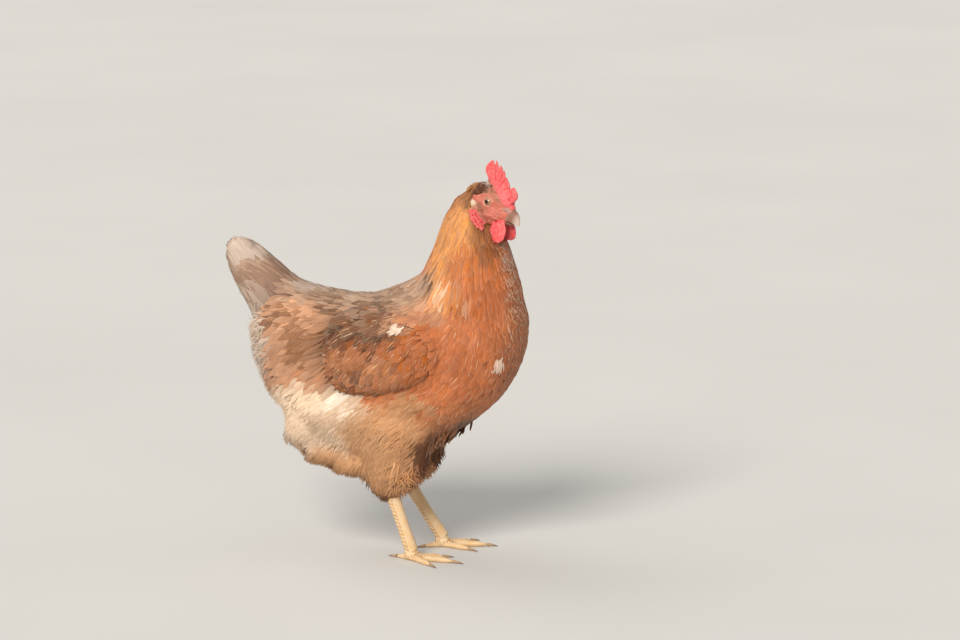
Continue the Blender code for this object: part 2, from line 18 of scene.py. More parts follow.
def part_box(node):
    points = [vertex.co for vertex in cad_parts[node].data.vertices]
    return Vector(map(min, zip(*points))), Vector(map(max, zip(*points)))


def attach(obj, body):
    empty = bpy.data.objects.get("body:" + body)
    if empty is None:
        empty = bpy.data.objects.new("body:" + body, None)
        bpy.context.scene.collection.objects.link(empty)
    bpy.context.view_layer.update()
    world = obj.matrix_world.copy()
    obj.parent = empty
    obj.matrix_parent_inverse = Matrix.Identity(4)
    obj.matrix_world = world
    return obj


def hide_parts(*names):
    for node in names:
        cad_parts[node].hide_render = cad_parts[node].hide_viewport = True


bl_info = {
    "name": "Laying hen",
    "version": (1, 0, 0),
    "blender": (4, 5, 0),
    "location": "3D View > Sidebar > Hen",
    "description": "Builds the skin, head, legs and plumage of a laying hen",
    "category": "Object",
}

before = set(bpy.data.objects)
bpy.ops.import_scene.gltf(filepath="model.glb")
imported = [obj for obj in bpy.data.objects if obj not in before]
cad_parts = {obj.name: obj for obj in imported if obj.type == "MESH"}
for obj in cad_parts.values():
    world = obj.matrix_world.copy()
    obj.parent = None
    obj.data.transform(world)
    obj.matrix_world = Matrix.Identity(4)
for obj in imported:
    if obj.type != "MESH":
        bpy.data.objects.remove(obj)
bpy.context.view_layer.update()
MM = 0.001
SIDES = (("right", -1), ("left", 1))

# Head, in its own frame.
EYE_MIDDLE = (6.8, 10.6, 3.5)
# The cornea: how far it stands out, as a share of the eye's radius, and its reach in radians.
CORNEA_RISE, CORNEA_REACH = 0.045, 0.62
HEAD_TURN = math.radians(-28)
HEAD_PITCH = math.radians(20)
COMB_NOTCHES = ((-5.9, 35.6), (0.3, 35.7), (6.0, 33.6), (10.9, 30.0), (20.5, 24.4))
COMB_HEART = (6.0, 13.0)
GROOVE_DEPTH, GROOVE_WIDTH = 1.05, 0.85
# Wattles: the middle with all its signs dropped, the half size, and the reach of their colour.
WATTLE_MIDDLE = (25.2, 9.8, 25.6)
WATTLE_HALF, WATTLE_REACH = (9.4, 1.9, 12.4), (9.4, 3.0, 12.4)
# Lower edge of the comb's flesh and lower edge of the crown's feathers: x, z.
COMB_LINE = ((-6, 40), (-2.5, 24), (5.6, 18.1), (14.1, 14.2), (20.9, 8.8), (27, 6.2), (36, 5.0))
CROWN_LINE = ((-16, 1.5), (-8.3, 4.5), (-1.7, 10.0), (5, 12.2), (14, 9.8), (21, 6.0), (26, 6.0))
# The double red fold that runs from below the ear lobe round the back of the jaw: x, z, radius.
FOLD_REAR = (
    (-7.6, -10.4, 1.3), (-6.9, -12.6, 2.1), (-3.6, -16.4, 1.6), (-1.0, -18.6, 2.2),
    (4.7, -22.4, 1.5), (9.3, -24.9, 1.6), (14.9, -27.3, 0.6),
)
FOLD_FRONT = (
    (-4.0, -10.8, 0.8), (-3.0, -13.2, 1.7), (1.6, -16.9, 1.0),
    (5.2, -19.4, 1.5), (9.0, -22.4, 0.9), (13.0, -25.3, 0.6),
)

# Bill: root x, tip x, depth, half width, height of the gape, and the same for the lower half.
BILL_ROOT, BILL_TIP, BILL_LOWER_TIP = 23.5, 45.5, 38.5
BILL_DEPTH, BILL_LOWER_DEPTH, BILL_WIDTH = 13.2, 5.2, 7.4
BILL_GAPE, BILL_HOOK = -8.8, 1.2

# Legs: hock, ankle, and the foot's turn in degrees.
LEGS = {
    "right": ((18.9, -36.0, 90.0), (45.9, -35.0, 10.5), -7),
    "left": ((16.9, 35.0, 86.0), (64.9, 37.0, 10.5), 9),
}
# Toes: angle outwards from straight ahead, length and radius.
TOES = {
    "inner": (-33, 37, 4.6),
    "middle": (2, 50, 5.0),
    "outer": (38, 39, 4.6),
    "hind": (-162, 21, 4.0),
}
SCUTE_LENGTH = 4.4
SCUTE_STEP = 0.62
TOE_SCUTE_LENGTH = 2.7
CLAW_GRAIN = 0.00028  # in metres

# How deep the skin lies under the feathers' outline, part by part.
COAT_DEPTH = {
    "trunk": 3.8,
    "neck": 3.2,
    "saddle": 4.0,
    "fluff": 6.0,
    "tail": 3.2,
    "thigh": 4.6,
    "wing": 2.6,
    "head": 5.0,
}
DEEPEST_SHARE = 0.36  # the coat is never deeper than this share of the body's thickness
PART = {name: k for k, name in enumerate((*COAT_DEPTH, "crown", "bare"))}

# The lie of the feathers, as seen from the side: x, z, then the way they point.
LIE = (
    (86, 402, -0.55, -0.83), (105, 395, -0.15, -0.99), (126, 385, 0.15, -0.99),
    (66, 350, -0.45, -0.90), (100, 350, -0.10, -1.00), (145, 345, 0.12, -1.00),
    (50, 312, -0.80, -0.60), (80, 300, -0.40, -0.92), (120, 300, -0.06, -1.00),
    (157, 305, 0.05, -1.00), (25, 302, -0.97, -0.25), (-20, 290, -1.00, -0.05),
    (-70, 298, -1.00, 0.12), (-110, 318, -0.85, 0.50), (60, 260, -0.60, -0.80),
    (100, 250, -0.45, -0.90), (140, 255, -0.12, -1.00), (165, 250, -0.05, -1.00),
    (155, 205, -0.40, -0.92), (110, 190, -0.68, -0.73), (60, 190, -0.80, -0.60),
    (125, 165, -0.75, -0.66), (90, 140, -0.88, -0.46), (60, 130, -0.75, -0.66),
    (20, 180, -0.75, -0.66), (-30, 180, -0.75, -0.66), (-40, 260, -0.92, -0.38),
    (-80, 250, -0.88, -0.48), (-110, 250, -0.78, -0.62), (-130, 285, -0.95, 0.15),
    (-140, 262, -0.92, -0.35), (-130, 220, -0.65, -0.76), (-90, 180, -0.75, -0.66),
    (-120, 160, -0.72, -0.70), (-70, 125, -0.60, -0.80), (-30, 110, -0.45, -0.90),
    (0, 150, -0.50, -0.86), (20, 120, -0.15, -0.98), (32, 85, 0.05, -1.00), (50, 110, 0.15, -0.98),
    (10, 82, -0.10, -1.00),
)
WING_LIE = (
    (-60, 275, -0.97, -0.25), (0, 280, -0.93, -0.36), (55, 268, -0.80, -0.60),
    (80, 240, -0.62, -0.78), (40, 240, -0.62, -0.78), (-10, 240, -0.66, -0.75),
    (-50, 240, -0.74, -0.66), (60, 215, -0.62, -0.78), (10, 205, -0.60, -0.80),
    (-45, 205, -0.62, -0.78),
)
TAIL_LIE = (
    (-100, 290, -0.70, 0.71), (-120, 330, -0.64, 0.77), (-150, 335, -0.62, 0.78),
    (-140, 300, -0.66, 0.75), (-135, 275, -0.80, 0.55), (-150, 285, -0.75, 0.62),
)
BELLY_LIE = ((118, 150, 0.10, -0.99), (95, 140, -0.35, -0.93), (75, 130, -0.55, -0.83))
TAIL_AXIS = ((-103, 0, 268), (-164.5, 0, 343.5))
TAIL_TIP_FROM = 80  # how far along its axis the tail's downy tip begins

# Fillers of the outline where feathers bridge the neck and the back, and fill the belly between
# the thighs: middle, half size.
FILLERS = (
    ((20, 0, 287), (22, 24, 9)),
    ((35, 0, 291), (20, 24, 12.5)),
    ((50, 0, 298), (17, 24, 14)),
    ((-16, -34, 105), (30, 21, 12)),
    ((-16, 34, 105), (30, 21, 12)),
    ((-44, -32, 115), (30, 22, 12)),
    ((-44, 32, 115), (30, 22, 12)),
)
# How far the belly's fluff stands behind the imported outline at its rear: z, distance.
REAR_LINE = (
    (86, 0), (98, 4), (110, 7), (124, 6), (135, 3),
    (145, -3), (160, -9), (170, -8), (185, -2), (200, 0),
)

# Markings, with a few rows of painted shade and light among them: colour, middle, half size,
# strength and, where they are broken up, the mottling's size. Later ones lie over earlier ones.
BODY_MARKINGS_AND_SHADE = (
    ("buff", (-75, 40, 262), (66, 90, 62), 1.00),
    ("gold", (92, 30, 348), (36, 60, 50), 0.95),
    ("gold", (84, 50, 300), (26, 40, 26), 0.70),
    ("nape", (106, 8, 405), (17, 26, 14), 0.90),
    ("brown", (102, 14, 398), (11, 18, 12), 0.85, 3),
    ("amber", (124, 30, 308), (36, 50, 48), 0.80),
    ("cream", (80, 52, 290), (9, 30, 20), 0.50, 2.5),
    ("cream", (104, 50, 296), (16, 40, 16), 0.25, 2.5),
    ("russet", (150, 0, 338), (18, 40, 40), 0.45),
    # Painted shadow under the head and the wattles, down the throat.
    ("umber", (125, 24, 360), (18, 24, 25), 0.50),
    ("plume", (154, 20, 335), (13, 50, 50), 0.40, 5),
    ("umber", (152, 20, 340), (12, 50, 46), 0.30, 4),
    ("russet", (163, 0, 262), (20, 60, 60), 0.50),
    ("russet", (128, 40, 168), (42, 70, 26), 0.55),
    ("thigh", (36, 0, 110), (56, 40, 22), 0.85),
    # Painted shade under the breast, over the belly.
    ("umber", (100, 0, 140), (46, 52, 20), 0.80),
    ("mist", (8, 0, 293), (54, 66, 20), 1.00),
    ("buff", (48, 30, 290), (22, 40, 16), 0.80),
    ("brown", (8, 42, 284), (52, 36, 13), 0.60, 6),
    ("buff", (54, 58, 274), (34, 34, 12), 0.55),
    ("mist", (40, 20, 304), (36, 44, 17), 0.85),
    ("plume", (30, 20, 306), (34, 44, 12), 0.50, 7),
    ("brown", (36, 30, 300), (34, 40, 12), 0.50, 6),
    # Painted shade in the crease between the neck and the back.
    ("umber", (64, 36, 312), (3.5, 16, 17), 0.80),
    ("mist", (-50, 0, 292), (60, 62, 17), 0.90),
    ("plume", (-55, 0, 300), (50, 40, 10), 0.60),
    ("brown", (-20, 45, 280), (44, 40, 11), 0.75, 7),
    ("umber", (-4, 46, 279), (54, 40, 12), 0.65, 8),
    ("flank", (-75, 65, 225), (36, 45, 36), 0.75),
    ("flank", (-86, 60, 244), (40, 50, 36), 0.55, 10),
    ("buff", (-58, 70, 205), (10, 20, 30), 0.60),
    ("buff", (-75, 50, 197), (52, 80, 17), 0.75),
    ("russet", (-69, 68, 197), (7, 20, 5), 0.50),
    ("buff", (-110, 40, 220), (24, 60, 40), 0.75),
    ("ash", (-124, 20, 235), (14, 60, 44), 0.75),
    ("mist", (-104, 0, 316), (30, 60, 24), 0.70),
    ("brown", (-100, 20, 308), (22, 60, 20), 0.45, 8),
    ("brown", (-104, 44, 273), (18, 40, 13), 0.80, 8),
    ("thigh", (-48, 20, 108), (74, 90, 28), 0.95),
    ("fleece", (-58, 60, 148), (84, 80, 38), 1.00),
    ("fleece", (-96, 30, 154), (45, 80, 33), 0.90),
    ("thigh", (24, 60, 136), (50, 70, 36), 0.90),
    ("thigh", (-14, 45, 108), (64, 70, 19), 0.85),
    ("cream", (-76, 65, 178), (38, 60, 14), 0.80),
    ("cream", (-84, 50, 152), (26, 60, 28), 0.65),
    # Painted light: lifts the shade in a crease of the fluff.
    ("cream", (-37, 60, 136), (24, 50, 13), 0.40),
    ("cream", (-24, 70, 174), (40, 60, 12), 0.60),
    ("white", (-34, 71, 175), (15, 40, 5), 0.65),
    ("white", (8, 73, 178), (11, 40, 5), 0.75),
    ("white", (-13, 70, 166), (7, 40, 4), 0.60),
    ("thigh", (24, 40, 80), (46, 60, 24), 0.95),
    # The thighs' own darker front, and painted shade on the far thigh, which lies in shadow.
    ("umber", (73, 45, 110), (18, 60, 36), 0.80),
    ("thigh", (36, 65, 174), (44, 60, 14), 0.75),
    ("tail", (-138, 0, 316), (46, 60, 54), 1.00),
    ("plume", (-148, 0, 340), (34, 60, 24), 0.85),
    ("ash", (-140, 0, 274), (20, 60, 24), 0.55),
)
WING_MARKINGS = (
    ("brick", (60, 80, 238), (36, 40, 44), 0.70),
    ("umber", (-18, 70, 267), (64, 60, 25), 0.75),
    ("umber", (-26, 70, 265), (50, 60, 20), 0.90, 7),
    ("umber", (-38, 70, 254), (26, 60, 20), 0.55),
    ("brown", (0, 60, 275), (60, 60, 13), 0.75),
    ("mist", (-4, 50, 280), (50, 40, 9), 0.55, 4),
    ("mist", (-26, 68, 262), (36, 30, 16), 0.22, 4),
    ("buff", (46, 60, 274), (30, 40, 12), 0.50),
    ("dun", (-8, 80, 216), (60, 60, 22), 0.60),
    ("umber", (-8, 74, 204), (52, 60, 12), 0.55, 6),
    ("fleece", (-50, 70, 214), (4, 40, 28), 0.55),
)
# The few white feathers: middle, half size.
WHITE_FLECKS = (((40, 70, 263), (5, 40, 3)), ((144, 52, 226), (3.4, 24, 5)))
# Markings of the bare face, and painted shade under the jaw: colour, x and z of the middle, half
# size, strength.
FACE_MARKINGS_AND_SHADE = (
    ("face_pale", (18, -3), (8, 5), 0.60),
    ("face_tan", (3, -9), (9, 6), 0.75),
    ("face_tan", (8, 10), (12, 4), 0.60),
    ("face_tan", (-2, -5), (4, 5), 0.90),
    ("face_pale", (-5, 2), (5, 4), 0.55),
    ("face_pale", (16, -9.5), (8, 2), 0.75),
    # Painted shade under the jaw.
    ("face_deep", (13, -16), (9, 4), 0.80),
    ("face_deep", (3, -16), (6, 5), 0.75),
    ("face_deep", (9, -21), (6, 4), 0.70),
)


def unit(vectors):
    return vectors / np.maximum(np.linalg.norm(vectors, axis=-1, keepdims=True), 1e-12)


def ease(value, low, high):
    """Rises smoothly from 0 to 1 as a value goes from low to high."""
    share = np.clip((value - low) / (high - low), 0, 1)
    return share * share * (3 - 2 * share)


def ripple(points, size, seed, waves=8):
    """Smooth noise of about -1 to 1, with features about size across."""
    rng = np.random.default_rng(seed)
    total = np.zeros(len(points))
    for _ in range(waves):
        direction = unit(rng.normal(size=3)) * 2 * math.pi / (size * rng.uniform(0.8, 2.2))
        total += np.sin(points @ direction + rng.uniform(0, 2 * math.pi))
    return total / math.sqrt(waves)


def on_line(values, rows):
    """Heights of a line, given as a table of places, at some values."""
    return np.interp(values, *np.transpose(rows))


def mixed(a, b, share):
    return a * (1 - share) + b * share


def settings():
    return bpy.context.scene.hen_sizes, bpy.context.scene.hen_colours


def colour_of(name):
    """One of the settings' colours as an array."""
    return np.array(getattr(bpy.context.scene.hen_colours, name))


def new_object(name, mesh, *materials):
    obj = bpy.data.objects.new(name, mesh)
    bpy.context.scene.collection.objects.link(obj)
    for material in materials:
        mesh.materials.append(material)
    return obj


def mesh_from(name, points, loops, sizes):
    """A smooth mesh from points, its faces' corners in one row, and each face's corner count."""
    mesh = bpy.data.meshes.new(name)
    mesh.vertices.add(len(points))
    mesh.vertices.foreach_set("co", np.asarray(points, np.float32).ravel())
    mesh.loops.add(len(loops))
    mesh.loops.foreach_set("vertex_index", np.asarray(loops, np.int32))
    mesh.polygons.add(len(sizes))
    mesh.polygons.foreach_set("loop_start", first_corners(sizes).astype(np.int32))
    mesh.update(calc_edges=True)
    mesh.polygons.foreach_set("use_smooth", np.ones(len(sizes), bool))
    return mesh


def add_colour(mesh, name, values):
    layer = mesh.attributes.new(name, "FLOAT_COLOR", "POINT")
    rows = np.ones((len(mesh.vertices), 4), np.float32)
    rows[:, :3] = values
    layer.data.foreach_set("color", rows.ravel())


def fetched(rows, key, kind, width=1):
    """A property of all of a mesh's rows as one array."""
    values = np.empty(len(rows) * width, kind)
    rows.foreach_get(key, values)
    return values.reshape(-1, width) if width > 1 else values


def positions(mesh):
    return fetched(mesh.vertices, "co", np.float32, 3).astype(float)


def first_corners(sizes):
    """The index of each face's first corner."""
    return np.concatenate([[0], np.cumsum(sizes)[:-1]])


def from_line(points, start, end):
    """How far along a straight line each place lies, from 0 to 1, and its offset from the line."""
    run = end - start
    share = np.clip(((points - start) @ run) / (run @ run), 0, 1)
    return share, points - (start + share[:, None] * run)


def node_bmesh(names):
    bm = bmesh.new()
    for name in names:
        bm.from_mesh(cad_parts[name].data)
    return bm


def remeshed(bm, voxel):
    """The outer surface of overlapping closed shapes, drawn over with small even faces."""
    mesh = bpy.data.meshes.new("clay")
    bm.to_mesh(mesh)
    bm.free()
    obj = bpy.data.objects.new("clay", mesh)
    bpy.context.scene.collection.objects.link(obj)
    modifier = obj.modifiers.new("shell", "REMESH")
    modifier.mode = "VOXEL"
    modifier.voxel_size = voxel
    graph = bpy.context.evaluated_depsgraph_get()
    made = bpy.data.meshes.new_from_object(obj.evaluated_get(graph))
    bpy.data.objects.remove(obj)
    bpy.data.meshes.remove(mesh)
    return made


class Shell:
    """A mesh as arrays, which can be smoothed, sculpted and joined before it becomes a piece."""

    def __init__(self, mesh):
        self.points = positions(mesh)
        self.loops = fetched(mesh.loops, "vertex_index", np.int32)
        self.sizes = fetched(mesh.polygons, "loop_total", np.int32)
        self.edges = fetched(mesh.edges, "vertices", np.int32, 2)
        bpy.data.meshes.remove(mesh)
        self.degree = np.bincount(self.edges.ravel(), minlength=len(self.points))
        self.keep_main()

    def keep_main(self):
        """Drops closed bubbles that the drawing-over leaves inside the main surface."""
        label = np.arange(len(self.points))
        a, b = self.edges.T
        while True:
            low = np.minimum(label[a], label[b])
            before = label.copy()
            np.minimum.at(label, a, low)
            np.minimum.at(label, b, low)
            label = label[label]
            if (label == before).all():
                break
        kept = label == np.bincount(label).argmax()
        if kept.all():
            return
        new = np.cumsum(kept) - 1
        corner_face = np.repeat(np.arange(len(self.sizes)), self.sizes)
        faces_kept = kept[self.loops[first_corners(self.sizes)]]
        self.loops = new[self.loops[faces_kept[corner_face]]]
        self.sizes = self.sizes[faces_kept]
        self.edges = new[self.edges[kept[a]]]
        self.points = self.points[kept]
        self.degree = self.degree[kept]

    def around(self, values):
        """The mean of each point's neighbours."""
        a, b = self.edges.T
        columns = values.reshape(len(values), -1).T
        total = [
            np.bincount(a, c[b], len(values)) + np.bincount(b, c[a], len(values)) for c in columns
        ]
        return (np.array(total).T / self.degree[:, None]).reshape(values.shape)

    def smooth(self, passes, share=None):
        share = 0.5 if share is None else share[:, None]
        for _ in range(passes):
            self.points += (self.around(self.points) - self.points) * share

    def spread(self, values, passes):
        for _ in range(passes):
            values = 0.5 * values + 0.5 * self.around(values)
        return values

    def corners(self):
        """The faces as triangles."""
        starts = first_corners(self.sizes)
        rows = []
        for extra in range(int(self.sizes.max()) - 2):
            first = starts[self.sizes > extra + 2]
            rows.append(np.stack([self.loops[first + k] for k in (0, extra + 1, extra + 2)], 1))
        return np.concatenate(rows)

    def normals(self):
        triangles = self.corners()
        a, b, c = (self.points[triangles[:, k]] for k in range(3))
        face = np.cross(b - a, c - a)
        total = np.zeros_like(self.points)
        for k in range(3):
            for axis in range(3):
                total[:, axis] += np.bincount(triangles[:, k], face[:, axis], len(self.points))
        return unit(total)

    def hollows(self, passes=2):
        """How far each point lies below its surroundings, in millimetres."""
        wide = self.points
        for _ in range(passes * 3):
            wide = self.around(wide)
        return ((wide - self.points) * self.normals()).sum(1) / MM


def tree_of(names):
    bm = node_bmesh(names)
    tree = BVHTree.FromBMesh(bm)
    bm.free()
    return tree


def distances(tree, points, limit=1.0):
    found = np.full(len(points), limit)
    for k, place in enumerate(points.tolist()):
        distance = tree.find_nearest(place, limit)[3]
        if distance is not None:
            found[k] = distance
    return found


def head_frame():
    """The head's own frame, from the places of the eyes."""
    turn = Matrix.Rotation(HEAD_TURN, 4, "Z") @ Matrix.Rotation(HEAD_PITCH, 4, "Y")
    eyes = [sum(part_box(f"eye_{name}"), Vector()) / 2 for name, _ in SIDES]
    middle = (eyes[0] + eyes[1]) / 2
    offset = turn.to_3x3() @ Vector((EYE_MIDDLE[0], 0, EYE_MIDDLE[2])) * MM
    return Matrix.Translation(middle - offset) @ turn


def in_head(points):
    """Places in the hen's frame, in metres, as places in the head's frame in millimetres."""
    inverse = np.array(head_frame().inverted())
    return (points @ inverse[:3, :3].T + inverse[:3, 3]) / MM


def from_head(points):
    matrix = np.array(head_frame())
    return np.asarray(points, float) * MM @ matrix[:3, :3].T + matrix[:3, 3]


# Materials


class Graph:
    """A short way to write a material's nodes."""

    def __init__(self, name):
        self.material = bpy.data.materials.new(name)
        self.material.use_nodes = True
        self.tree = self.material.node_tree
        self.tree.nodes.clear()

    def put(self, socket, value):
        if isinstance(value, bpy.types.NodeSocket):
            self.tree.links.new(value, socket)
        elif socket.type == "RGBA":
            socket.default_value = (*value, 1.0)
        else:
            socket.default_value = value

    def node(self, kind, inputs=None, output=0, **values):
        node = self.tree.nodes.new(kind)
        for key, value in values.items():
            setattr(node, key, value)
        for key, value in (inputs or {}).items():
            self.put(node.inputs[key], value)
        return node.outputs[output]

    def math(self, operation, a, b=0.0, c=0.0):
        return self.node("ShaderNodeMath", {0: a, 1: b, 2: c}, operation=operation)

    def times(self, a, b):
        return self.math("MULTIPLY", a, b)

    def plus(self, a, b):
        return self.math("ADD", a, b)

    def tinted(self, colour, by):
        """A colour multiplied by a second colour or by a shade."""
        return self.mix(1.0, colour, by, "MULTIPLY")

    def step(self, value, low, high, start=0.0, end=1.0):
        return self.node(
            "ShaderNodeMapRange",
            {0: value, 1: low, 2: high, 3: start, 4: end},
            interpolation_type="SMOOTHSTEP",
        )

    def mix(self, share, a, b, blend="MIX"):
        node = self.tree.nodes.new("ShaderNodeMix")
        node.data_type = "RGBA"
        node.blend_type = blend
        for index, value in ((0, share), (6, a), (7, b)):
            self.put(node.inputs[index], value)
        return node.outputs[2]

    def noise(self, scale, detail=3.0, roughness=0.55, distortion=0.0, stretch=None):
        place = self.node("ShaderNodeTexCoord", output=3)
        if stretch:
            place = self.node("ShaderNodeVectorMath", {0: place, 1: stretch}, operation="MULTIPLY")
        inputs = {"Vector": place, "Scale": scale, "Detail": detail, "Roughness": roughness}
        return self.node("ShaderNodeTexNoise", {**inputs, "Distortion": distortion})

    def cells(self, scale):
        place = self.node("ShaderNodeTexCoord", output=3)
        return self.node("ShaderNodeTexVoronoi", {"Vector": place, "Scale": scale}, feature="F1")

    def colour(self, name):
        return self.node("ShaderNodeAttribute", output=0, attribute_name=name)

    def channels(self, name):
        node = self.tree.nodes.new("ShaderNodeSeparateColor")
        self.tree.links.new(self.colour(name), node.inputs[0])
        return node.outputs

    def finish(self, colour, roughness, height, distance, **constants):
        surface = self.tree.nodes.new("ShaderNodeBsdfPrincipled")
        self.put(surface.inputs["Base Color"], colour)
        self.put(surface.inputs["Roughness"], roughness)
        for key, value in constants.items():
            surface.inputs[key.replace("_", " ")].default_value = value
        if height is not None:
            inputs = {"Strength": 0.7, "Distance": distance, "Height": height}
            self.tree.links.new(self.node("ShaderNodeBump", inputs), surface.inputs["Normal"])
        out = self.tree.nodes.new("ShaderNodeOutputMaterial")
        self.tree.links.new(surface.outputs[0], out.inputs[0])
        return self.material


def plumage_material(soft):
    """Feather: a tint with painted shade at the root, a pale shaft, a rim and barbs; or plain down.
    """
    name = "down" if soft else "feather"
    if name in bpy.data.materials:
        return bpy.data.materials[name]
    _, colours = settings()
    g = Graph(name)
    place = g.tree.nodes.new("ShaderNodeSeparateXYZ")
    g.tree.links.new(g.node("ShaderNodeUVMap", uv_map="vane"), place.inputs[0])
    across, along = place.outputs[0], place.outputs[1]
    edge = g.times(g.math("ABSOLUTE", g.math("SUBTRACT", across, 0.5)), 2.0)
    tint = g.colour("tint")
    roughness = g.step(g.noise(300.0), 0.3, 0.7, 0.55, 0.75)
    constants = {"Specular_IOR_Level": 0.20, "Sheen_Weight": 0.06, "Sheen_Roughness": 0.5}
    if soft:
        # Painted shade: the down a little darker towards its root, where the locks overlap.
        colour = g.tinted(tint, g.step(along, 0.0, 0.5, 0.95, 1.0))
        return g.finish(colour, roughness, None, 0.0, **constants)
    trim = g.channels("trim")
    barb_line = g.math("SUBTRACT", g.times(along, 60.0), g.times(edge, 13.0))
    wander = g.times(g.noise(260.0, 1.0), 1.6)
    barbs = g.math("SINE", g.times(g.plus(barb_line, wander), 2 * math.pi))
    barbs = g.math("MULTIPLY_ADD", barbs, 0.5, 0.5)
    # Painted shade: darker towards the root, where the feathers overlap one another.
    colour = g.tinted(tint, g.step(along, 0.15, 0.75, 0.78, 1.0))
    colour = g.mix(g.times(g.step(g.noise(160.0, 4.0), 0.40, 0.80), 0.02), colour, colours.cream)
    colour = g.tinted(colour, g.step(barbs, 0.0, 1.0, 0.92, 1.03))
    tip = g.times(g.step(along, 0.80, 0.97), 0.8)
    rim = g.math("MAXIMUM", g.times(g.step(edge, 0.50, 0.95), g.step(along, 0.55, 0.90)), tip)
    colour = g.mix(g.times(rim, trim[1]), colour, colours.cream)
    dark = g.times(g.times(g.step(along, 0.45, 0.8), g.step(edge, 0.9, 0.3)), trim[2])
    colour = g.mix(dark, colour, g.tinted(tint, (0.38, 0.33, 0.30)))
    shaft = g.times(g.step(edge, 0.12, 0.02), g.step(along, 0.98, 0.70))
    colour = g.mix(g.times(shaft, trim[0]), colour, colours.quill)
    height = g.plus(g.times(barbs, 0.5), g.times(shaft, 1.2))
    return g.finish(colour, roughness, height, 0.00014, **constants)


def down_skin_material():
    """The skin under the feathers: the same markings, in the shade of the coat."""
    g = Graph("feathered_skin")
    shade = g.step(g.noise(220.0, 4.0), 0.3, 0.7, 0.88, 1.00)
    colour = g.tinted(g.colour("tint"), shade)
    height = g.noise(900.0, 3.0)
    return g.finish(colour, 0.8, height, 0.0004, Specular_IOR_Level=0.2)


def face_material():
    """Bare skin: pink-red face, coral comb and wattles, cream ear lobe, paler on ridges, painted
    shade in hollows.
    """
    _, colours = settings()
    g = Graph("bare_skin")
    masks = g.channels("mask")
    more = g.channels("relief")
    fine = g.noise(1500.0, 4.0)
    patch = g.noise(330.0, 3.0, distortion=0.6)
    pebble = g.cells(1500.0)
    face = g.mix(g.times(g.step(patch, 0.4, 0.75), 0.30), g.colour("tint"), colours.face_pale)
    comb = g.mix(g.times(g.step(patch, 0.4, 0.75), 0.5), colours.comb, colours.comb_pale)
    comb = g.mix(g.times(g.step(pebble, 0.45, 0.15), 0.22), comb, colours.comb_pale)
    lobe = g.mix(masks[2], colours.lobe, colours.lobe_low)
    colour = g.mix(masks[0], face, comb)
    colour = g.mix(masks[1], colour, lobe)
    colour = g.mix(more[2], colour, colours.lid)
    colour = g.mix(more[1], colour, colours.cere)
    hollow = g.step(more[0], 0.50, 0.66)
    ridge = g.step(more[0], 0.49, 0.36)
    # Painted shade: darker in the hollows, such as the comb's grooves and the folds of the face.
    colour = g.mix(g.times(hollow, 0.48), colour, g.tinted(colour, (0.50, 0.27, 0.25)))
    colour = g.mix(g.times(ridge, 0.18), colour, g.mix(0.5, colour, colours.cere))
    colour = g.tinted(colour, g.step(fine, 0.25, 0.75, 0.86, 1.10))
    height = g.plus(g.times(pebble, 0.9), g.times(fine, 0.6))
    roughness = g.step(patch, 0.3, 0.7, 0.42, 0.58)
    constants = {"Specular_IOR_Level": 0.35, "Subsurface_Weight": 0.15, "Subsurface_Scale": 0.002}
    return g.finish(colour, roughness, height, 0.00022, **constants)


def leg_material():
    """Scales: cream-yellow plates with darker joints and a painted highlight where they stand out.
    """
    _, colours = settings()
    g = Graph("scaly_skin")
    relief = g.channels("relief")
    patch = g.noise(150.0, 3.0)
    fine = g.noise(1300.0, 4.0, stretch=(1, 1, 0.4))
    colour = g.mix(g.step(patch, 0.35, 0.7), colours.scale, colours.scale_warm)
    colour = g.mix(relief[1], colour, colours.sole)
    joint = g.step(relief[0], 0.505, 0.58)
    colour = g.mix(g.times(joint, 0.9), colour, colours.joint)
    # Painted highlight: paler where the skin stands out, on the plates' raised edges.
    colour = g.mix(g.times(g.step(relief[0], 0.48, 0.36), 0.35), colour, colours.quill)
    colour = g.tinted(colour, g.step(fine, 0.2, 0.8, 0.88, 1.08))
    roughness = g.step(fine, 0.3, 0.7, 0.38, 0.55)
    return g.finish(colour, roughness, fine, 0.0002, Specular_IOR_Level=0.4)


def horn_material(name, stops, streak):
    """Horn with a colour that changes from root to tip, with growth lines and fine streaks."""
    g = Graph(name)
    reach = g.channels("reach")[0]
    grain = g.noise(700.0, 4.0, stretch=(1, 1, 3))
    wander = g.plus(reach, g.times(g.math("SUBTRACT", grain, 0.5), streak))
    ramp = g.tree.nodes.new("ShaderNodeValToRGB")
    g.tree.links.new(wander, ramp.inputs[0])
    while len(ramp.color_ramp.elements) < len(stops):
        ramp.color_ramp.elements.new(0.5)
    for element, (place, value) in zip(ramp.color_ramp.elements, stops):
        element.position = place
        element.color = (*value, 1.0)
    lines = g.math("SINE", g.times(wander, 90.0))
    colour = g.tinted(ramp.outputs[0], g.step(lines, -1.0, 1.0, 0.95, 1.02))
    height = g.plus(g.times(lines, 0.10), grain)
    constants = {"Specular_IOR_Level": 0.28}
    return g.finish(colour, g.step(grain, 0.3, 0.7, 0.45, 0.62), height, 0.00006, **constants)


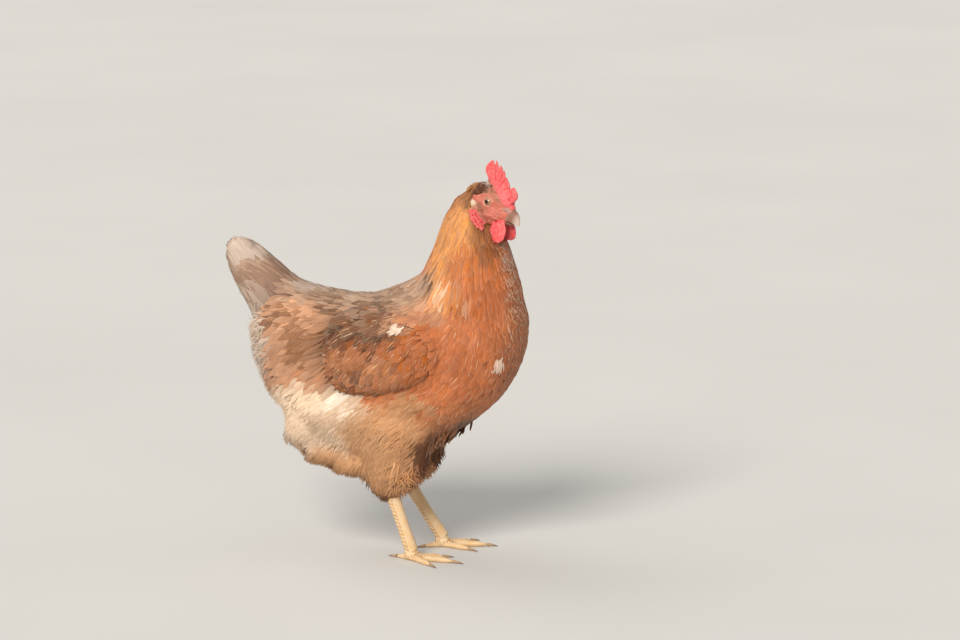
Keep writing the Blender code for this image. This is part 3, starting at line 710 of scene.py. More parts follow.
def eye_material():
    """Black pupil, amber iris with fine rays, dark rim, under a wet gloss."""
    _, colours = settings()
    g = Graph("eyeball")
    reach = g.channels("reach")
    rays = g.node("ShaderNodeTexNoise", {"Vector": g.colour("ray"), "Scale": 22.0, "Detail": 3.0})
    radius = g.plus(reach[0], g.times(g.math("SUBTRACT", rays, 0.5), 0.012))
    iris = g.mix(g.step(rays, 0.2, 0.8), colours.iris, colours.iris_bright)
    iris = g.mix(g.step(radius, 0.36, 0.50), g.tinted(iris, (0.55, 0.42, 0.35)), iris)
    colour = g.mix(g.step(radius, 0.36, 0.33), iris, (0.004, 0.003, 0.003))
    colour = g.mix(g.step(radius, 0.66, 0.76), colour, (0.06, 0.03, 0.02))
    constants = {"Specular_IOR_Level": 0.15, "Coat_Weight": 0.8, "Coat_Roughness": 0.03}
    return g.finish(colour, 0.15, None, 0.0, **constants)


# Paint


def painted(points, parts):
    """The markings, with painted light and shade among them, at some places: points in metres, and
    a part name's index for each.
    """
    place = points / MM
    warp = np.stack([ripple(points, 0.050, 40 + k) for k in range(3)], 1) * 5
    warp += np.stack([ripple(points, 0.014, 50 + k) for k in range(3)], 1) * 2
    place = place + warp
    place[:, 1] = np.abs(place[:, 1])
    wing = parts == PART["wing"]
    colour = np.where(wing[:, None], colour_of("chestnut"), colour_of("cinnamon"))
    for rows, where in ((BODY_MARKINGS_AND_SHADE, ~wing), (WING_MARKINGS, wing)):
        for k, (name, middle, half, strength, *mottling) in enumerate(rows):
            reach = np.linalg.norm((place - middle) / half, axis=1)
            share = strength * ease(-reach, -1.25, -0.75) * where
            for size in mottling:
                share = share * ease(ripple(points, size * MM, 600 + k), -0.1, 0.7)
            colour = mixed(colour, colour_of(name), share[:, None])
    crown = parts == PART["crown"]
    if crown.any():
        local = in_head(points[crown])
        streak = ease(local[:, 2], 13.6, 16) * ease(local[:, 0], -20, -14)
        streak *= 0.95 * ease(ripple(points[crown], 0.0016, 61), -0.2, 0.3)
        base = colour_of("crown") * (1 + 0.25 * ripple(points[crown], 0.009, 62))[:, None]
        base = mixed(base, colour_of("nape"), ease(-local[:, 0], 14, 21)[:, None])
        colour[crown] = mixed(base, colour_of("plume"), streak[:, None])
    clouds = 1 + 0.08 * ripple(points, 0.030, 70) + 0.05 * ripple(points, 0.010, 71)
    return np.clip(colour * clouds[:, None], 0.003, 0.95)


def painted_face(local):
    """The bare face's pinks and tans, with painted shade under the jaw, at places of the head's
    frame.
    """
    place = local[:, [0, 2]] + np.stack([ripple(local, 7.0, 75 + k) for k in range(2)], 1) * 1.2
    colour = np.tile(colour_of("face"), (len(local), 1))
    for name, middle, half, strength in FACE_MARKINGS_AND_SHADE:
        reach = np.linalg.norm((place - middle) / half, axis=1)
        share = strength * ease(-reach, -1.3, -0.6)
        colour = mixed(colour, colour_of(name), share[:, None])
    return colour * (1 + 0.10 * ripple(local, 3.0, 77))[:, None]


# Skin


def part_of(node):
    return node.split("_")[0]


BODY_NODES = [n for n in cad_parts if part_of(n) in COAT_DEPTH]
FACE_NODES = ["head", "comb", "wattle_left", "wattle_right", "earlobe_left", "earlobe_right"]


def body_clay(voxel):
    """The feathered outline of the whole body, with its fillers."""
    bm = node_bmesh(BODY_NODES)
    for middle, half in FILLERS:
        blob(bm, middle, half, Matrix())
    shell = Shell(remeshed(bm, voxel))
    place = shell.points / MM
    rear = ease(-place[:, 0], 55, 100) * on_line(place[:, 2], REAR_LINE)
    shell.points[:, 0] -= rear * MM
    return shell


def body_shell(voxel):
    """The body's skin, inside the feathers' outline by the coat's depth."""
    shell = body_clay(voxel)
    names = sorted({part_of(n) for n in BODY_NODES})
    groups = [[n for n in BODY_NODES if part_of(n) == name] for name in names]
    reach = [distances(tree_of(group), shell.points, 0.03) for group in groups]
    nearest = np.stack(reach, 1).argmin(1)
    parts = np.array([PART[name] for name in names])[nearest]
    shell.smooth(4)
    depth = np.array([COAT_DEPTH[name] for name in names])[nearest] * MM
    nape = ease(-in_head(shell.points)[:, 0], 14, 21) * (parts == PART["head"])
    depth *= 1 - 0.65 * nape
    high = ease(shell.points[:, 2], 0.320, 0.380) * (parts != PART["head"])
    depth = shell.spread(depth * (1 - 0.65 * high), 8)
    normals = shell.normals()
    tree = BVHTree.FromPolygons(shell.points.tolist(), shell.corners().tolist())
    for k, (place, normal) in enumerate(zip(shell.points, normals)):
        far = tree.ray_cast(place - normal * 1e-4, -normal, 0.05)[3]
        if far is not None:
            depth[k] = min(depth[k], DEEPEST_SHARE * far)
    depth = shell.spread(depth, 4)
    shell.points -= normals * depth[:, None]
    shell.smooth(3)
    return shell, parts


def beads(bm, path, radii, squash=(1, 1, 1)):
    """A soft rope of clay through points of the head's frame."""
    path, radii = np.array(path, float), np.array(radii, float)
    lengths = np.linalg.norm(np.diff(path, axis=0), axis=1)
    marks = np.concatenate([[0], np.cumsum(lengths)])
    count = max(2, int(marks[-1] / (radii.min() * 0.55)) + 1)
    for mark in np.linspace(0, marks[-1], count):
        middle = [np.interp(mark, marks, path[:, k]) for k in range(3)]
        blob(bm, middle, np.array(squash) * np.interp(mark, marks, radii))


def blob(bm, middle, half, place=None):
    """An ellipsoid of clay, in the head's frame unless another is given."""
    made = bmesh.ops.create_icosphere(bm, subdivisions=2, radius=1)["verts"]
    size = Matrix.Diagonal((*(np.array(half) * MM), 1))
    matrix = (place or head_frame()) @ Matrix.Translation(Vector(middle) * MM) @ size
    bmesh.ops.transform(bm, matrix=matrix, verts=made)


def fold_line(side, rows):
    """A line of places over the outline of the neck, on one side of the head."""
    tree = tree_of(BODY_NODES)
    matrix = head_frame()
    way = matrix.to_3x3() @ Vector((0, -side, 0))
    line = []
    for x, z, _ in rows:
        start = matrix @ (Vector((x, side * 45, z)) * MM)
        hit = tree.ray_cast(start, way)[0] or matrix @ (Vector((x, side * 16, z)) * MM)
        place = matrix.inverted() @ hit / MM
        line.append((x, place.y + side * 0.4, z))
    return line


def face_clay(bm, side):
    """Lids, brow, cheek, gape, nostril cover, and the red fold behind the jaw, on one side."""

    def rope(rows, radii, squash=(1, 1, 1)):
        beads(bm, [(x, side * y, z) for x, y, z in rows], radii, squash)

    def lump(x, y, z, half):
        blob(bm, (x, side * y, z), half)

    x, y, z = EYE_MIDDLE
    for wide, high, out, radius in ((4.9, 4.3, 3.85, 0.9), (6.7, 5.9, 1.9, 1.6)):
        ring = []
        for k in range(17):
            angle = 2 * math.pi * k / 16
            cos, sin = math.cos(angle), math.sin(angle)
            front = 1 + 0.10 * max(0, cos) ** 6
            ring.append((x + wide * cos * front, y + out, z + high * sin))
        rope(ring, [radius] * 17, (1, 0.9, 1))
    rope(((-2, 13.4, 9.4), (6, 13.0, 10.4), (14, 10.8, 8.8)), (1.6, 1.9, 1.2))
    flare = ((-3, 2.4, 20.3), (5.6, 3.8, 17.2), (14.1, 5.2, 13.4), (21, 6.2, 8.6), (27, 4.6, 6.4))
    tiers = ((1.0, 0, 1.0), (0.68, 2.8, 0.85), (0.42, 5.6, 0.72), (0.22, 8.4, 0.60))
    for narrow, rise, thick in tiers:
        places = flare[: 4 if rise > 3 else 5]
        path = [(x + 0.35 * rise, side * y * narrow, z + rise) for x, y, z in places]
        beads(bm, path, np.array((2.0, 2.6, 3.0, 3.2, 2.4))[: len(path)] * thick)
    rope(((25.5, 8.0, -8.6), (22, 9.4, -8.2), (18, 11.2, -7.2)), (0.9, 1.5, 1.3))
    lump(31.5, 2.6, 1.4, (3.4, 2.8, 2.8))
    rope(((22, 8.6, -11.2), (14, 12.4, -11.0), (6, 14.2, -11.6)), (1.3, 1.6, 1.2))
    rope(((31.5, 3.9, 2.2), (28.5, 5.2, 3.0), (25, 6.4, 2.0)), (1.2, 1.7, 1.5))
    rope(((24.5, 5.6, -11.0), (25, 6.4, -16.0)), (2.6, 2.4), (1.5, 0.8, 1))
    lump(8, 9.4, -8.5, (11, 5.4, 6.4))
    lump(6, 9.4, -13.5, (10, 5.0, 7.0))
    lump(12, 8.6, -15.5, (8, 4.4, 6.0))
    lump(-8.3, 15.6, -6.4, (5.2, 2.6, 4.9))
    jaw = ((-4, 14.6, -9), (0, 14.4, -12.5), (4, 14.0, -16), (10, 12.6, -20))
    rope(jaw, (3.2, 3.4, 3.2, 2.4))
    x, y, z = WATTLE_MIDDLE
    lump(x, y, -z, WATTLE_HALF)
    for rows in (FOLD_REAR, FOLD_FRONT):
        line = fold_line(side, rows)
        radii = [row[2] for row in rows]
        for inwards in (0, 2.2, 4.2):
            beads(bm, [(a, b - side * inwards, c) for a, b, c in line], radii)


def face_shell(voxel):
    """Head, comb, wattles and ear lobes under one skin, with the folds sculpted in."""
    bm = node_bmesh(FACE_NODES)
    for _, side in SIDES:
        face_clay(bm, side)
    blob(bm, (30, 0, 5.2), (4.4, 4.6, 3.6))
    blob(bm, (20, 0, -13.0), (8, 6.5, 4.2))
    shell = Shell(remeshed(bm, voxel))

    def share_of(names, low, high):
        return 1 - ease(distances(tree_of(names), shell.points, 0.01), low, high)

    comb = share_of(["comb"], 0.0008, 0.0028)
    wattle = share_of(["wattle_left", "wattle_right"], 0.0004, 0.0020)
    lobe = share_of(["earlobe_left", "earlobe_right"], 0.0003, 0.0012)
    local = in_head(shell.points)
    reach = np.linalg.norm((np.abs(local) - WATTLE_MIDDLE) / WATTLE_REACH, axis=1)
    wattle = np.maximum(wattle, (1 - ease(reach, 1.05, 1.2)) * (local[:, 2] < 0))
    shell.smooth(12, 0.5 * (1 - 0.80 * comb) * (1 - 0.45 * wattle))
    sculpt_face(shell, comb, wattle, lobe)
    return shell, comb, wattle, lobe


def sculpt_face(shell, comb, wattle, lobe):
    local = in_head(shell.points)
    x, y, z = local[:, 0], np.abs(local[:, 1]), local[:, 2]
    bare = 1 - np.maximum(np.maximum(comb, wattle), lobe)
    radius = np.hypot((x - EYE_MIDDLE[0]) / 1.1, z - EYE_MIDDLE[2])
    waver = ripple(local, 7.0, 11)
    broken = 0.55 + 0.45 * ripple(local, 4.0, 18)
    rings = np.sin(2 * math.pi * radius / 1.7 + 1.8 * waver)
    raised = 0.15 * broken * rings * ease(radius, 5.6, 6.8) * (1 - ease(radius, 8.0, 11))
    cheek = ease(radius, 7, 10) * ease(y, 5, 8)
    cheek = cheek * ease(x, -14, -8) * (1 - ease(x, 24, 30))
    folds = np.sin(2 * math.pi * (z + 0.42 * x + 1.2 * waver) / 2.6)
    cross = np.sin(2 * math.pi * (x - 0.35 * z + 1.5 * ripple(local, 6.0, 19)) / 2.9)
    raised += cheek * (0.13 * broken * folds + 0.06 * cross + 0.05 * ripple(local, 2.4, 12))
    raised += 0.035 * ripple(local, 1.4, 13)
    behind = 1.25 * ease(-x, 13, 19)
    raised -= 1.5 * np.maximum(ease(-x, 3, 12) * ease(z, 5, 12), behind)
    slit = np.hypot((x - 28.4) / 2.2, (z - 0.9 + 0.25 * (x - 28.4)) / 0.55)
    raised -= 1.0 * np.exp(-(slit**2)) * ease(y, 2.5, 4)
    raised *= bare
    for notch in COMB_NOTCHES:
        share, offset = from_line(local[:, [0, 2]], np.array(notch), np.array(COMB_HEART))
        groove = np.exp(-((np.linalg.norm(offset, axis=1) / GROOVE_WIDTH) ** 2))
        raised -= GROOVE_DEPTH * comb * groove * (1 - ease(share, 0.20, 0.62))
    raised += comb * (0.12 * ripple(local, 3.4, 14) + 0.05 * ripple(local, 1.3, 15))
    flaps = np.sin(2 * math.pi * (x + 0.15 * z) / 5.2 + 0.9 * waver)
    raised += wattle * (
        0.14 * flaps + 0.12 * ripple(local, 3.6, 16) + 0.04 * ripple(local, 1.2, 17)
    )
    fold = (1 - ease(fold_distance(local), 1.6, 3.0)) * (1 - wattle)
    raised += fold * (0.35 * ripple(local, 2.6, 24) + 0.16 * ripple(local, 1.1, 25))
    shell.points += shell.normals() * (raised * MM)[:, None]


def crown_share(local):
    """1 where the head is feathered: behind the comb, over the ear and round the throat."""
    x, z = local[:, 0], local[:, 2]
    low, high = on_line(x, CROWN_LINE), np.minimum(on_line(x, COMB_LINE), 19.4)
    above = ease(z - low, -0.5, 0.7) * ease(high - z, -0.2, 0.8)
    return np.maximum(above * (1 - ease(x, 0, 4)), ease(-x, 13.2, 15.0))


def fold_distance(local):
    """How far places of the head's frame lie from the red fold behind the jaw, seen side-on."""
    best = np.full(len(local), 1e3)
    for rows in (FOLD_REAR, FOLD_FRONT):
        path = np.array(rows)[:, :2]
        for start, end in zip(path, path[1:]):
            _, offset = from_line(local[:, [0, 2]], start, end)
            best = np.minimum(best, np.linalg.norm(offset, axis=1))
    return np.where(np.abs(local[:, 1]) > 11, best, 1e3)


def build_skin():
    """One skin over the body and the head."""
    sizes, _ = settings()
    body, parts = body_shell(sizes.body_grain)
    face, comb, wattle, lobe = face_shell(sizes.face_grain)
    local = in_head(face.points)
    x, y, z = local[:, 0], np.abs(local[:, 1]), local[:, 2]
    comb = comb * (1 - ease(-z, -24, -22) * ease(-x, 1.5, 3.5))
    comb = np.maximum(comb, ease(z - on_line(x, COMB_LINE), -0.5, 0.5) * ease(x, -5, -3))
    ear = np.hypot((x + 8.4) / 5.4, (z + 6.6) / 5.0) + 0.10 * ripple(local, 3.0, 22)
    lobe = (1 - ease(ear, 0.88, 1.05)) * ease(y, 12.5, 14)
    red = np.maximum(comb, wattle)
    feathered = crown_share(local) * (1 - np.maximum(red, lobe))
    ring = np.hypot((x - EYE_MIDDLE[0]) / 1.06, z - EYE_MIDDLE[2])
    lid = (1 - ease(np.abs(ring - 4.6), 0.5, 1.2)) * ease(y, 8, 11)
    lid *= 0.45 + 0.55 * ease(EYE_MIDDLE[2] - z, -3, 2)
    nostril = np.hypot((x - 29.5) / 4.6, (z - 2.6) / 3.2) + 0.25 * ripple(local, 2.4, 21)
    cere = 1 - ease(nostril, 0.7, 1.2)
    cere *= (1 - comb) * ease(y, 1.0, 3.0)
    low_lobe = ease(x - 0.7 * (z + 6.6), -9.5, -4.5)
    fold = 1 - ease(fold_distance(local), 2.6, 3.6)
    red = np.maximum(red, fold * (0.85 - 0.25 * ease(ripple(local, 2.2, 23), 0, 1)) * (1 - lobe))
    mask = np.stack([red, lobe, low_lobe], 1)
    hollow = 0.5 + np.clip(0.9 * face.hollows(), -0.45, 0.45)
    relief = np.stack([hollow, cere * 0.85, lid * 0.8], 1)
    depth = 0.9 * MM * face.spread(feathered, 3)
    face.points -= face.normals() * depth[:, None]

    points = np.concatenate([body.points, face.points])
    loops = np.concatenate([body.loops, face.loops + len(body.points)])
    mesh = mesh_from("skin", points, loops, np.concatenate([body.sizes, face.sizes]))
    face_parts = np.where(feathered > 0.5, PART["crown"], PART["bare"])
    parts = np.concatenate([parts, face_parts]).astype(np.int32)
    mesh.attributes.new("part", "INT", "POINT").data.foreach_set("value", parts)
    tint = painted(points, parts)
    # Painted shade of the coat on the skin under it: darker under firm feathers, less under the
    # down, thighs and tail.
    pale = np.isin(parts, [PART[name] for name in ("fluff", "thigh", "tail")]) | is_soft(points)
    tint *= np.where(pale, 0.90, 0.62)[:, None]
    head_tint = tint[len(body.points) :]
    head_tint[:] = np.where(feathered[:, None] > 0.5, head_tint, painted_face(local))
    add_colour(mesh, "tint", tint)
    blank = np.zeros((len(body.points), 3))
    add_colour(mesh, "mask", np.concatenate([blank, mask]))
    add_colour(mesh, "relief", np.concatenate([blank, relief]))
    obj = new_object("skin", mesh, down_skin_material(), face_material())
    bare = feathered[face.loops[first_corners(face.sizes)]] <= 0.6
    slots = np.concatenate([np.zeros(len(body.sizes), np.int32), bare.astype(np.int32)])
    mesh.polygons.foreach_set("material_index", slots)
    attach(obj, "root")
    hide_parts(*BODY_NODES, *[n for n in FACE_NODES if n != "head"])


# Feathers


def outside(points, tree):
    """How far each place lies outside a closed surface, and below zero inside it."""
    found = np.empty(len(points))
    for k, place in enumerate(points.tolist()):
        near, normal, _, distance = tree.find_nearest(place)
        found[k] = distance if (Vector(place) - near).dot(normal) > 0 else -distance
    return found


OUTLINE_GRAIN = 0.003


def outline():
    """The feathered outline of the whole body."""
    shell = body_clay(OUTLINE_GRAIN)
    return shell.points.tolist(), shell.corners().tolist()


# Roots: how many are tried for each one wanted, and the least share of the spacing between two.
CANDIDATES, CLOSEST = 5, 0.86
# The skins of head and body overlap above this height; a face this far inside the other is hidden.
OVERLAP_FROM, HIDDEN_DEPTH = 0.335, 0.0004


class Ground:
    """The skin as the surface that feathers grow from."""

    def __init__(self):
        mesh = bpy.data.objects["skin"].data
        mesh.calc_loop_triangles()
        self.points = positions(mesh)
        self.faces = fetched(mesh.loop_triangles, "vertices", np.int32, 3)
        self.normals = fetched(mesh.vertices, "normal", np.float32, 3).astype(float)
        self.parts = fetched(mesh.attributes["part"].data, "value", np.int32)
        self.red, self.lobe = fetched(mesh.attributes["mask"].data, "color", np.float32, 4)[:, :2].T
        self.local = in_head(self.points)
        self.middles = self.points[self.faces].mean(1)
        head = np.isin(self.parts[self.faces], (PART["crown"], PART["bare"])).all(1)
        points = self.points.tolist()
        trees = [BVHTree.FromPolygons(points, self.faces[kind].tolist()) for kind in (head, ~head)]
        near_head = self.middles[:, 2] > OVERLAP_FROM
        buried = np.zeros(len(self.faces), bool)
        for kind, tree in ((head, trees[1]), (~head & near_head, trees[0])):
            buried[kind] = outside(self.middles[kind], tree) < -HIDDEN_DEPTH
        self.shown = ~buried
        self.open = self.faces[self.shown]
        self.tree = BVHTree.FromPolygons(points, self.open.tolist())
        self.outline = BVHTree.FromPolygons(*outline())

    def of(self, name):
        return (self.parts[self.faces] == PART[name]).any(1) & self.shown

    def all_of(self, name):
        return (self.parts[self.faces] == PART[name]).all(1) & self.shown

    def on_side(self, side):
        return self.middles[:, 1] * side > 0

    def nearest(self, places):
        found = [self.tree.find_nearest(p) for p in places.tolist()]
        spots = np.array([f[0] for f in found])
        corners = self.open[[f[2] for f in found]]
        away = 1 / (np.linalg.norm(self.points[corners] - spots[:, None], axis=2) + 1e-4)
        return spots, unit((self.normals[corners] * away[:, :, None]).sum(1))

    def scatter(self, chosen, spacing, seed):
        """Roots spread evenly over chosen faces, spacing(points) apart, with the skin's normals."""
        rng = np.random.default_rng(seed)
        faces = self.faces[chosen]
        a, b, c = (self.points[faces[:, k]] for k in range(3))
        area = np.linalg.norm(np.cross(b - a, c - a), axis=1) / 2
        gap = spacing((a + b + c) / 3)
        weight = area / gap**2
        count = int(weight.sum() * CANDIDATES)
        picked = rng.choice(len(faces), count, p=weight / weight.sum())
        u, v = rng.random((2, count))
        over = u + v > 1
        u[over], v[over] = 1 - u[over], 1 - v[over]
        spots = a[picked] + (b - a)[picked] * u[:, None] + (c - a)[picked] * v[:, None]
        gaps = gap[picked] * CLOSEST
        tree = KDTree(count)
        for k, spot in enumerate(spots.tolist()):
            tree.insert(spot, k)
        tree.balance()
        alive = np.ones(count, bool)
        for k, spot in enumerate(spots.tolist()):
            if alive[k]:
                for _, other, _ in tree.find_range(spot, gaps[k]):
                    if other > k:
                        alive[other] = False
        corners = faces[picked[alive]]
        return spots[alive], unit(self.normals[corners].sum(1))


GROUNDS = {}


def ground_now():
    """The ground that belongs to the present skin."""
    skin = bpy.data.objects.get("skin")
    if skin is None:
        raise RuntimeError("Build the skin first: the feathers grow from it")
    key = skin.data.name
    if key not in GROUNDS:
        GROUNDS.clear()
        GROUNDS[key] = Ground()
    return GROUNDS[key]


def lie_at(points, rows):
    """The way that the feathers point at some places, from a table of the coat's lie."""
    rows = np.array(rows, float)
    place = points[:, [0, 2]] / MM
    weight = 1 / (((place[:, None] - rows[None, :, :2]) ** 2).sum(2) + 60) ** 1.8
    way = weight @ rows[:, 2:]
    return unit(np.stack([way[:, 0], np.zeros(len(way)), way[:, 1]], 1))


def turned(vectors, axes, angles):
    """Vectors turned about axes, by Rodrigues' rule."""
    cos, sin = np.cos(angles)[:, None], np.sin(angles)[:, None]
    along = (vectors * axes).sum(1, keepdims=True)
    return vectors * cos + np.cross(axes, vectors) * sin + axes * along * (1 - cos)


def grow(
    ground, roots, normals, ways, lengths, heights, stations, cling, droop=0.0, curl=None, stand=0.0
):
    """Lines that leave the skin at their roots and lie over it, each with its upward directions.

    heights gives how far each line stands over the skin at its root and its tip. cling is how
    closely it follows the skin where the skin falls away, droop is how far it sinks under its
    weight there, curl is how far it turns sideways on its way, and stand is how far it keeps to
    its way off the skin.
    """
    shares = np.diff(stations)
    lift = heights[:, :1] + (heights[:, 1:] - heights[:, :1]) * np.array(stations)[None] ** 0.8
    place = roots + normals * heights[:, :1]
    heading = unit(ways - (1 - stand) * normals * (ways * normals).sum(1, keepdims=True))
    line, ups, up = [place], [normals], normals
    for k, share in enumerate(shares):
        step = lengths[:, None] * share
        ahead = place + heading * step
        near, up = ground.nearest(ahead)
        gap = ((ahead - near) * up).sum(1, keepdims=True)
        want = lift[:, k + 1 : k + 2]
        facing = np.clip(1 - 2.5 * np.clip((up * heading).sum(1, keepdims=True), 0, 1), 0, 1)
        fix = np.where(gap < want, want - gap, (want - gap) * cling * facing)
        fix = np.clip(fix, -0.45 * step, 0.9 * step)
        ahead = ahead + up * fix
        ahead[:, 2:] -= droop * step * np.clip(gap / (4 * MM) - 1, 0, 1)
        heading = unit(ahead - place)
        place = place + heading * step
        line.append(place)
        ups.append(up)
        if curl is not None:
            heading = turned(heading, up, curl * share)
    return np.stack(line, 1), np.stack(ups, 1)


def vane_mesh(name, line, ups, widths, across, camber, softness):
    """Closed thin vanes along lines: a cambered upper side over a flat lower one.

    softness is how far their shading follows the body under them instead of each vane.
    """
    count, steps, _ = line.shape
    forward = unit(np.gradient(line, axis=1))
    side = unit(np.cross(forward, ups))
    up = np.cross(side, forward)
    spread = np.linspace(-1, 1, across)
    points = (
        line[:, :, None]
        + side[:, :, None] * (widths[:, :, None] * spread)[..., None]
        + up[:, :, None] * (camber * widths[:, :, None] * (1 - spread**2))[..., None]
    )
    index = np.arange(count * steps * across, dtype=np.int32).reshape(count, steps, across)
    a, b = index[:, :-1, :-1], index[:, 1:, :-1]
    c, d = index[:, 1:, 1:], index[:, :-1, 1:]
    top = np.stack([a, d, c, b], -1).reshape(count, -1)
    under = np.stack([index[:, :-1, 0], index[:, 1:, 0], index[:, 1:, -1], index[:, :-1, -1]], -1)
    ends = np.concatenate([index[:, 0, ::-1], index[:, -1, :]], 1)
    loops = np.concatenate([top, under.reshape(count, -1), ends], 1).ravel()
    quads = (steps - 1) * across
    sizes = np.tile(np.array([4] * quads + [across] * 2), count)
    mesh = mesh_from(name, points.reshape(-1, 3), loops, sizes)
    column = fetched(mesh.edges, "vertices", np.int32, 2) % across
    rim = ((column == 0) | (column == across - 1)).all(1)
    if softness:
        facing = mixed(up[:, :, None], ups[:, :, None], softness)
        facing = facing + 0.25 * side[:, :, None] * spread[:, None]
        normals = unit(facing).reshape(-1, 3)[loops].reshape(count, -1, 3)
        first = 4 * (steps - 1) * (across - 1)
        normals[:, first : first + 4 * (steps - 1)] *= -1
        mesh.normals_split_custom_set(normals.reshape(-1, 3).astype(np.float32))
    else:
        mesh.attributes.new("sharp_edge", "BOOLEAN", "EDGE").data.foreach_set("value", rim)
    return mesh, loops


def unwrapped(points, axis):
    """A place from 0 to 1 each way for each root: round an axis and along it."""
    axis = np.array(axis, float) * MM
    best, along, around = np.full(len(points), 1e9), np.zeros(len(points)), np.zeros(len(points))
    start = 0.0
    for low, high in zip(axis, axis[1:]):
        run = high - low
        share, away = from_line(points, low, high)
        reach = np.linalg.norm(away, axis=1)
        upward = unit(np.cross(np.cross(run, (0.2, 0.0, 1.0)), run))
        sideways = unit(np.cross(run, upward))
        closer = reach < best
        best[closer] = reach[closer]
        along[closer] = (start + share * np.linalg.norm(run))[closer]
        around[closer] = np.arctan2(away @ sideways, away @ upward)[closer]
        start += np.linalg.norm(run)
    places = []
    for values in (around, along):
        low, high = values.min(), values.max()
        places.append(0.01 + 0.98 * (values - low) / max(high - low, 1e-9))
    return np.stack(places, 1)


# The line from tail to head that the coat's map runs along, and the size of a feather's patch.
BODY_AXIS = (
    (-165, 0, 345), (-110, 0, 262), (-60, 0, 215), (60, 0, 215),
    (105, 0, 260), (105, 0, 345), (128, -6, 395),
)
PATCH = 0.003
# Half width along the feather as shares of its width, from root to tip.
SHAPES = {
    "contour": (0.30, 0.62, 0.88, 1.00, 0.97, 0.80, 0.42, 0.03),
    "hackle": (0.45, 0.80, 0.96, 1.00, 0.97, 0.84, 0.54, 0.05),
    "lock": (0.60, 1.00, 0.85, 0.50, 0.05),
    "small": (0.50, 0.95, 1.00, 0.80, 0.06),
    "blade": (0.35, 0.70, 0.88, 0.97, 1.00, 0.99, 0.93, 0.78, 0.46, 0.04),
}


def stations_of(shape):
    """Stations from root to tip, closer together towards a rounded tip."""
    even = np.linspace(0, 1, len(SHAPES[shape]))
    return even if shape == "lock" else 1 - (1 - even) ** 1.25


def feather_piece(
    name, shape, line, ups, width, tint, trim, axis, across=3, camber=0.16, seed=1, softness=0
):
    """Turns grown lines into one piece of plumage with its colours and its two UV maps."""
    rng = np.random.default_rng(seed)
    count, steps, _ = line.shape
    profile = np.array(SHAPES[shape])[None] * rng.uniform(0.90, 1.10, (count, steps))
    widths = np.maximum(profile * width[:, None], 0.00008)
    mesh, loops = vane_mesh(name, line, ups, widths, across, camber, softness)
    per_feather = steps * across
    column = loops % across / (across - 1)
    station = stations_of(shape)[loops // across % steps]
    feather = loops // per_feather
    vane = np.stack([column, station], 1)
    roots = unwrapped(line[:, 0], axis)
    patch = np.clip(roots[feather] + (vane - 0.5) * PATCH, 0, 1)
    for layer, places in (("vane", vane), ("OFBake", patch)):
        mesh.uv_layers.new(name=layer).data.foreach_set("uv", places.astype(np.float32).ravel())
    add_colour(mesh, "tint", np.repeat(tint, per_feather, axis=0))
    add_colour(mesh, "trim", np.repeat(trim, per_feather, axis=0))
    obj = new_object(name, mesh, plumage_material(shape == "lock"))
    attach(obj, "root")


SHORTEST_SHARE = 0.25  # a feather that the outline cuts shorter than this isn't kept
# What a style of feathers says where it doesn't say otherwise.
PLAIN = dict(
    locks=1, jitter=0, root=0.0004, lift=(0.80, 1.15), yaw=0.10, curl=0.0, roll=0.10, stand=0.0,
    cling=0.7, droop=0.0, fit=(None, 2.5), soft=0, blend=2.5, variety=0.10, across=3, camber=0.16,
)


def varied(points, parts, amount, seed):
    """Markings at each feather, with its own lightness and warmth."""
    rng = np.random.default_rng(seed)
    colour = painted(points, parts)
    grey = colour.mean(1, keepdims=True)
    colour = colour + (grey - colour) * rng.normal(0, amount * 0.6, (len(points), 1))
    return np.clip(colour * np.exp(rng.normal(0, amount, (len(points), 1))), 0.004, 0.92)


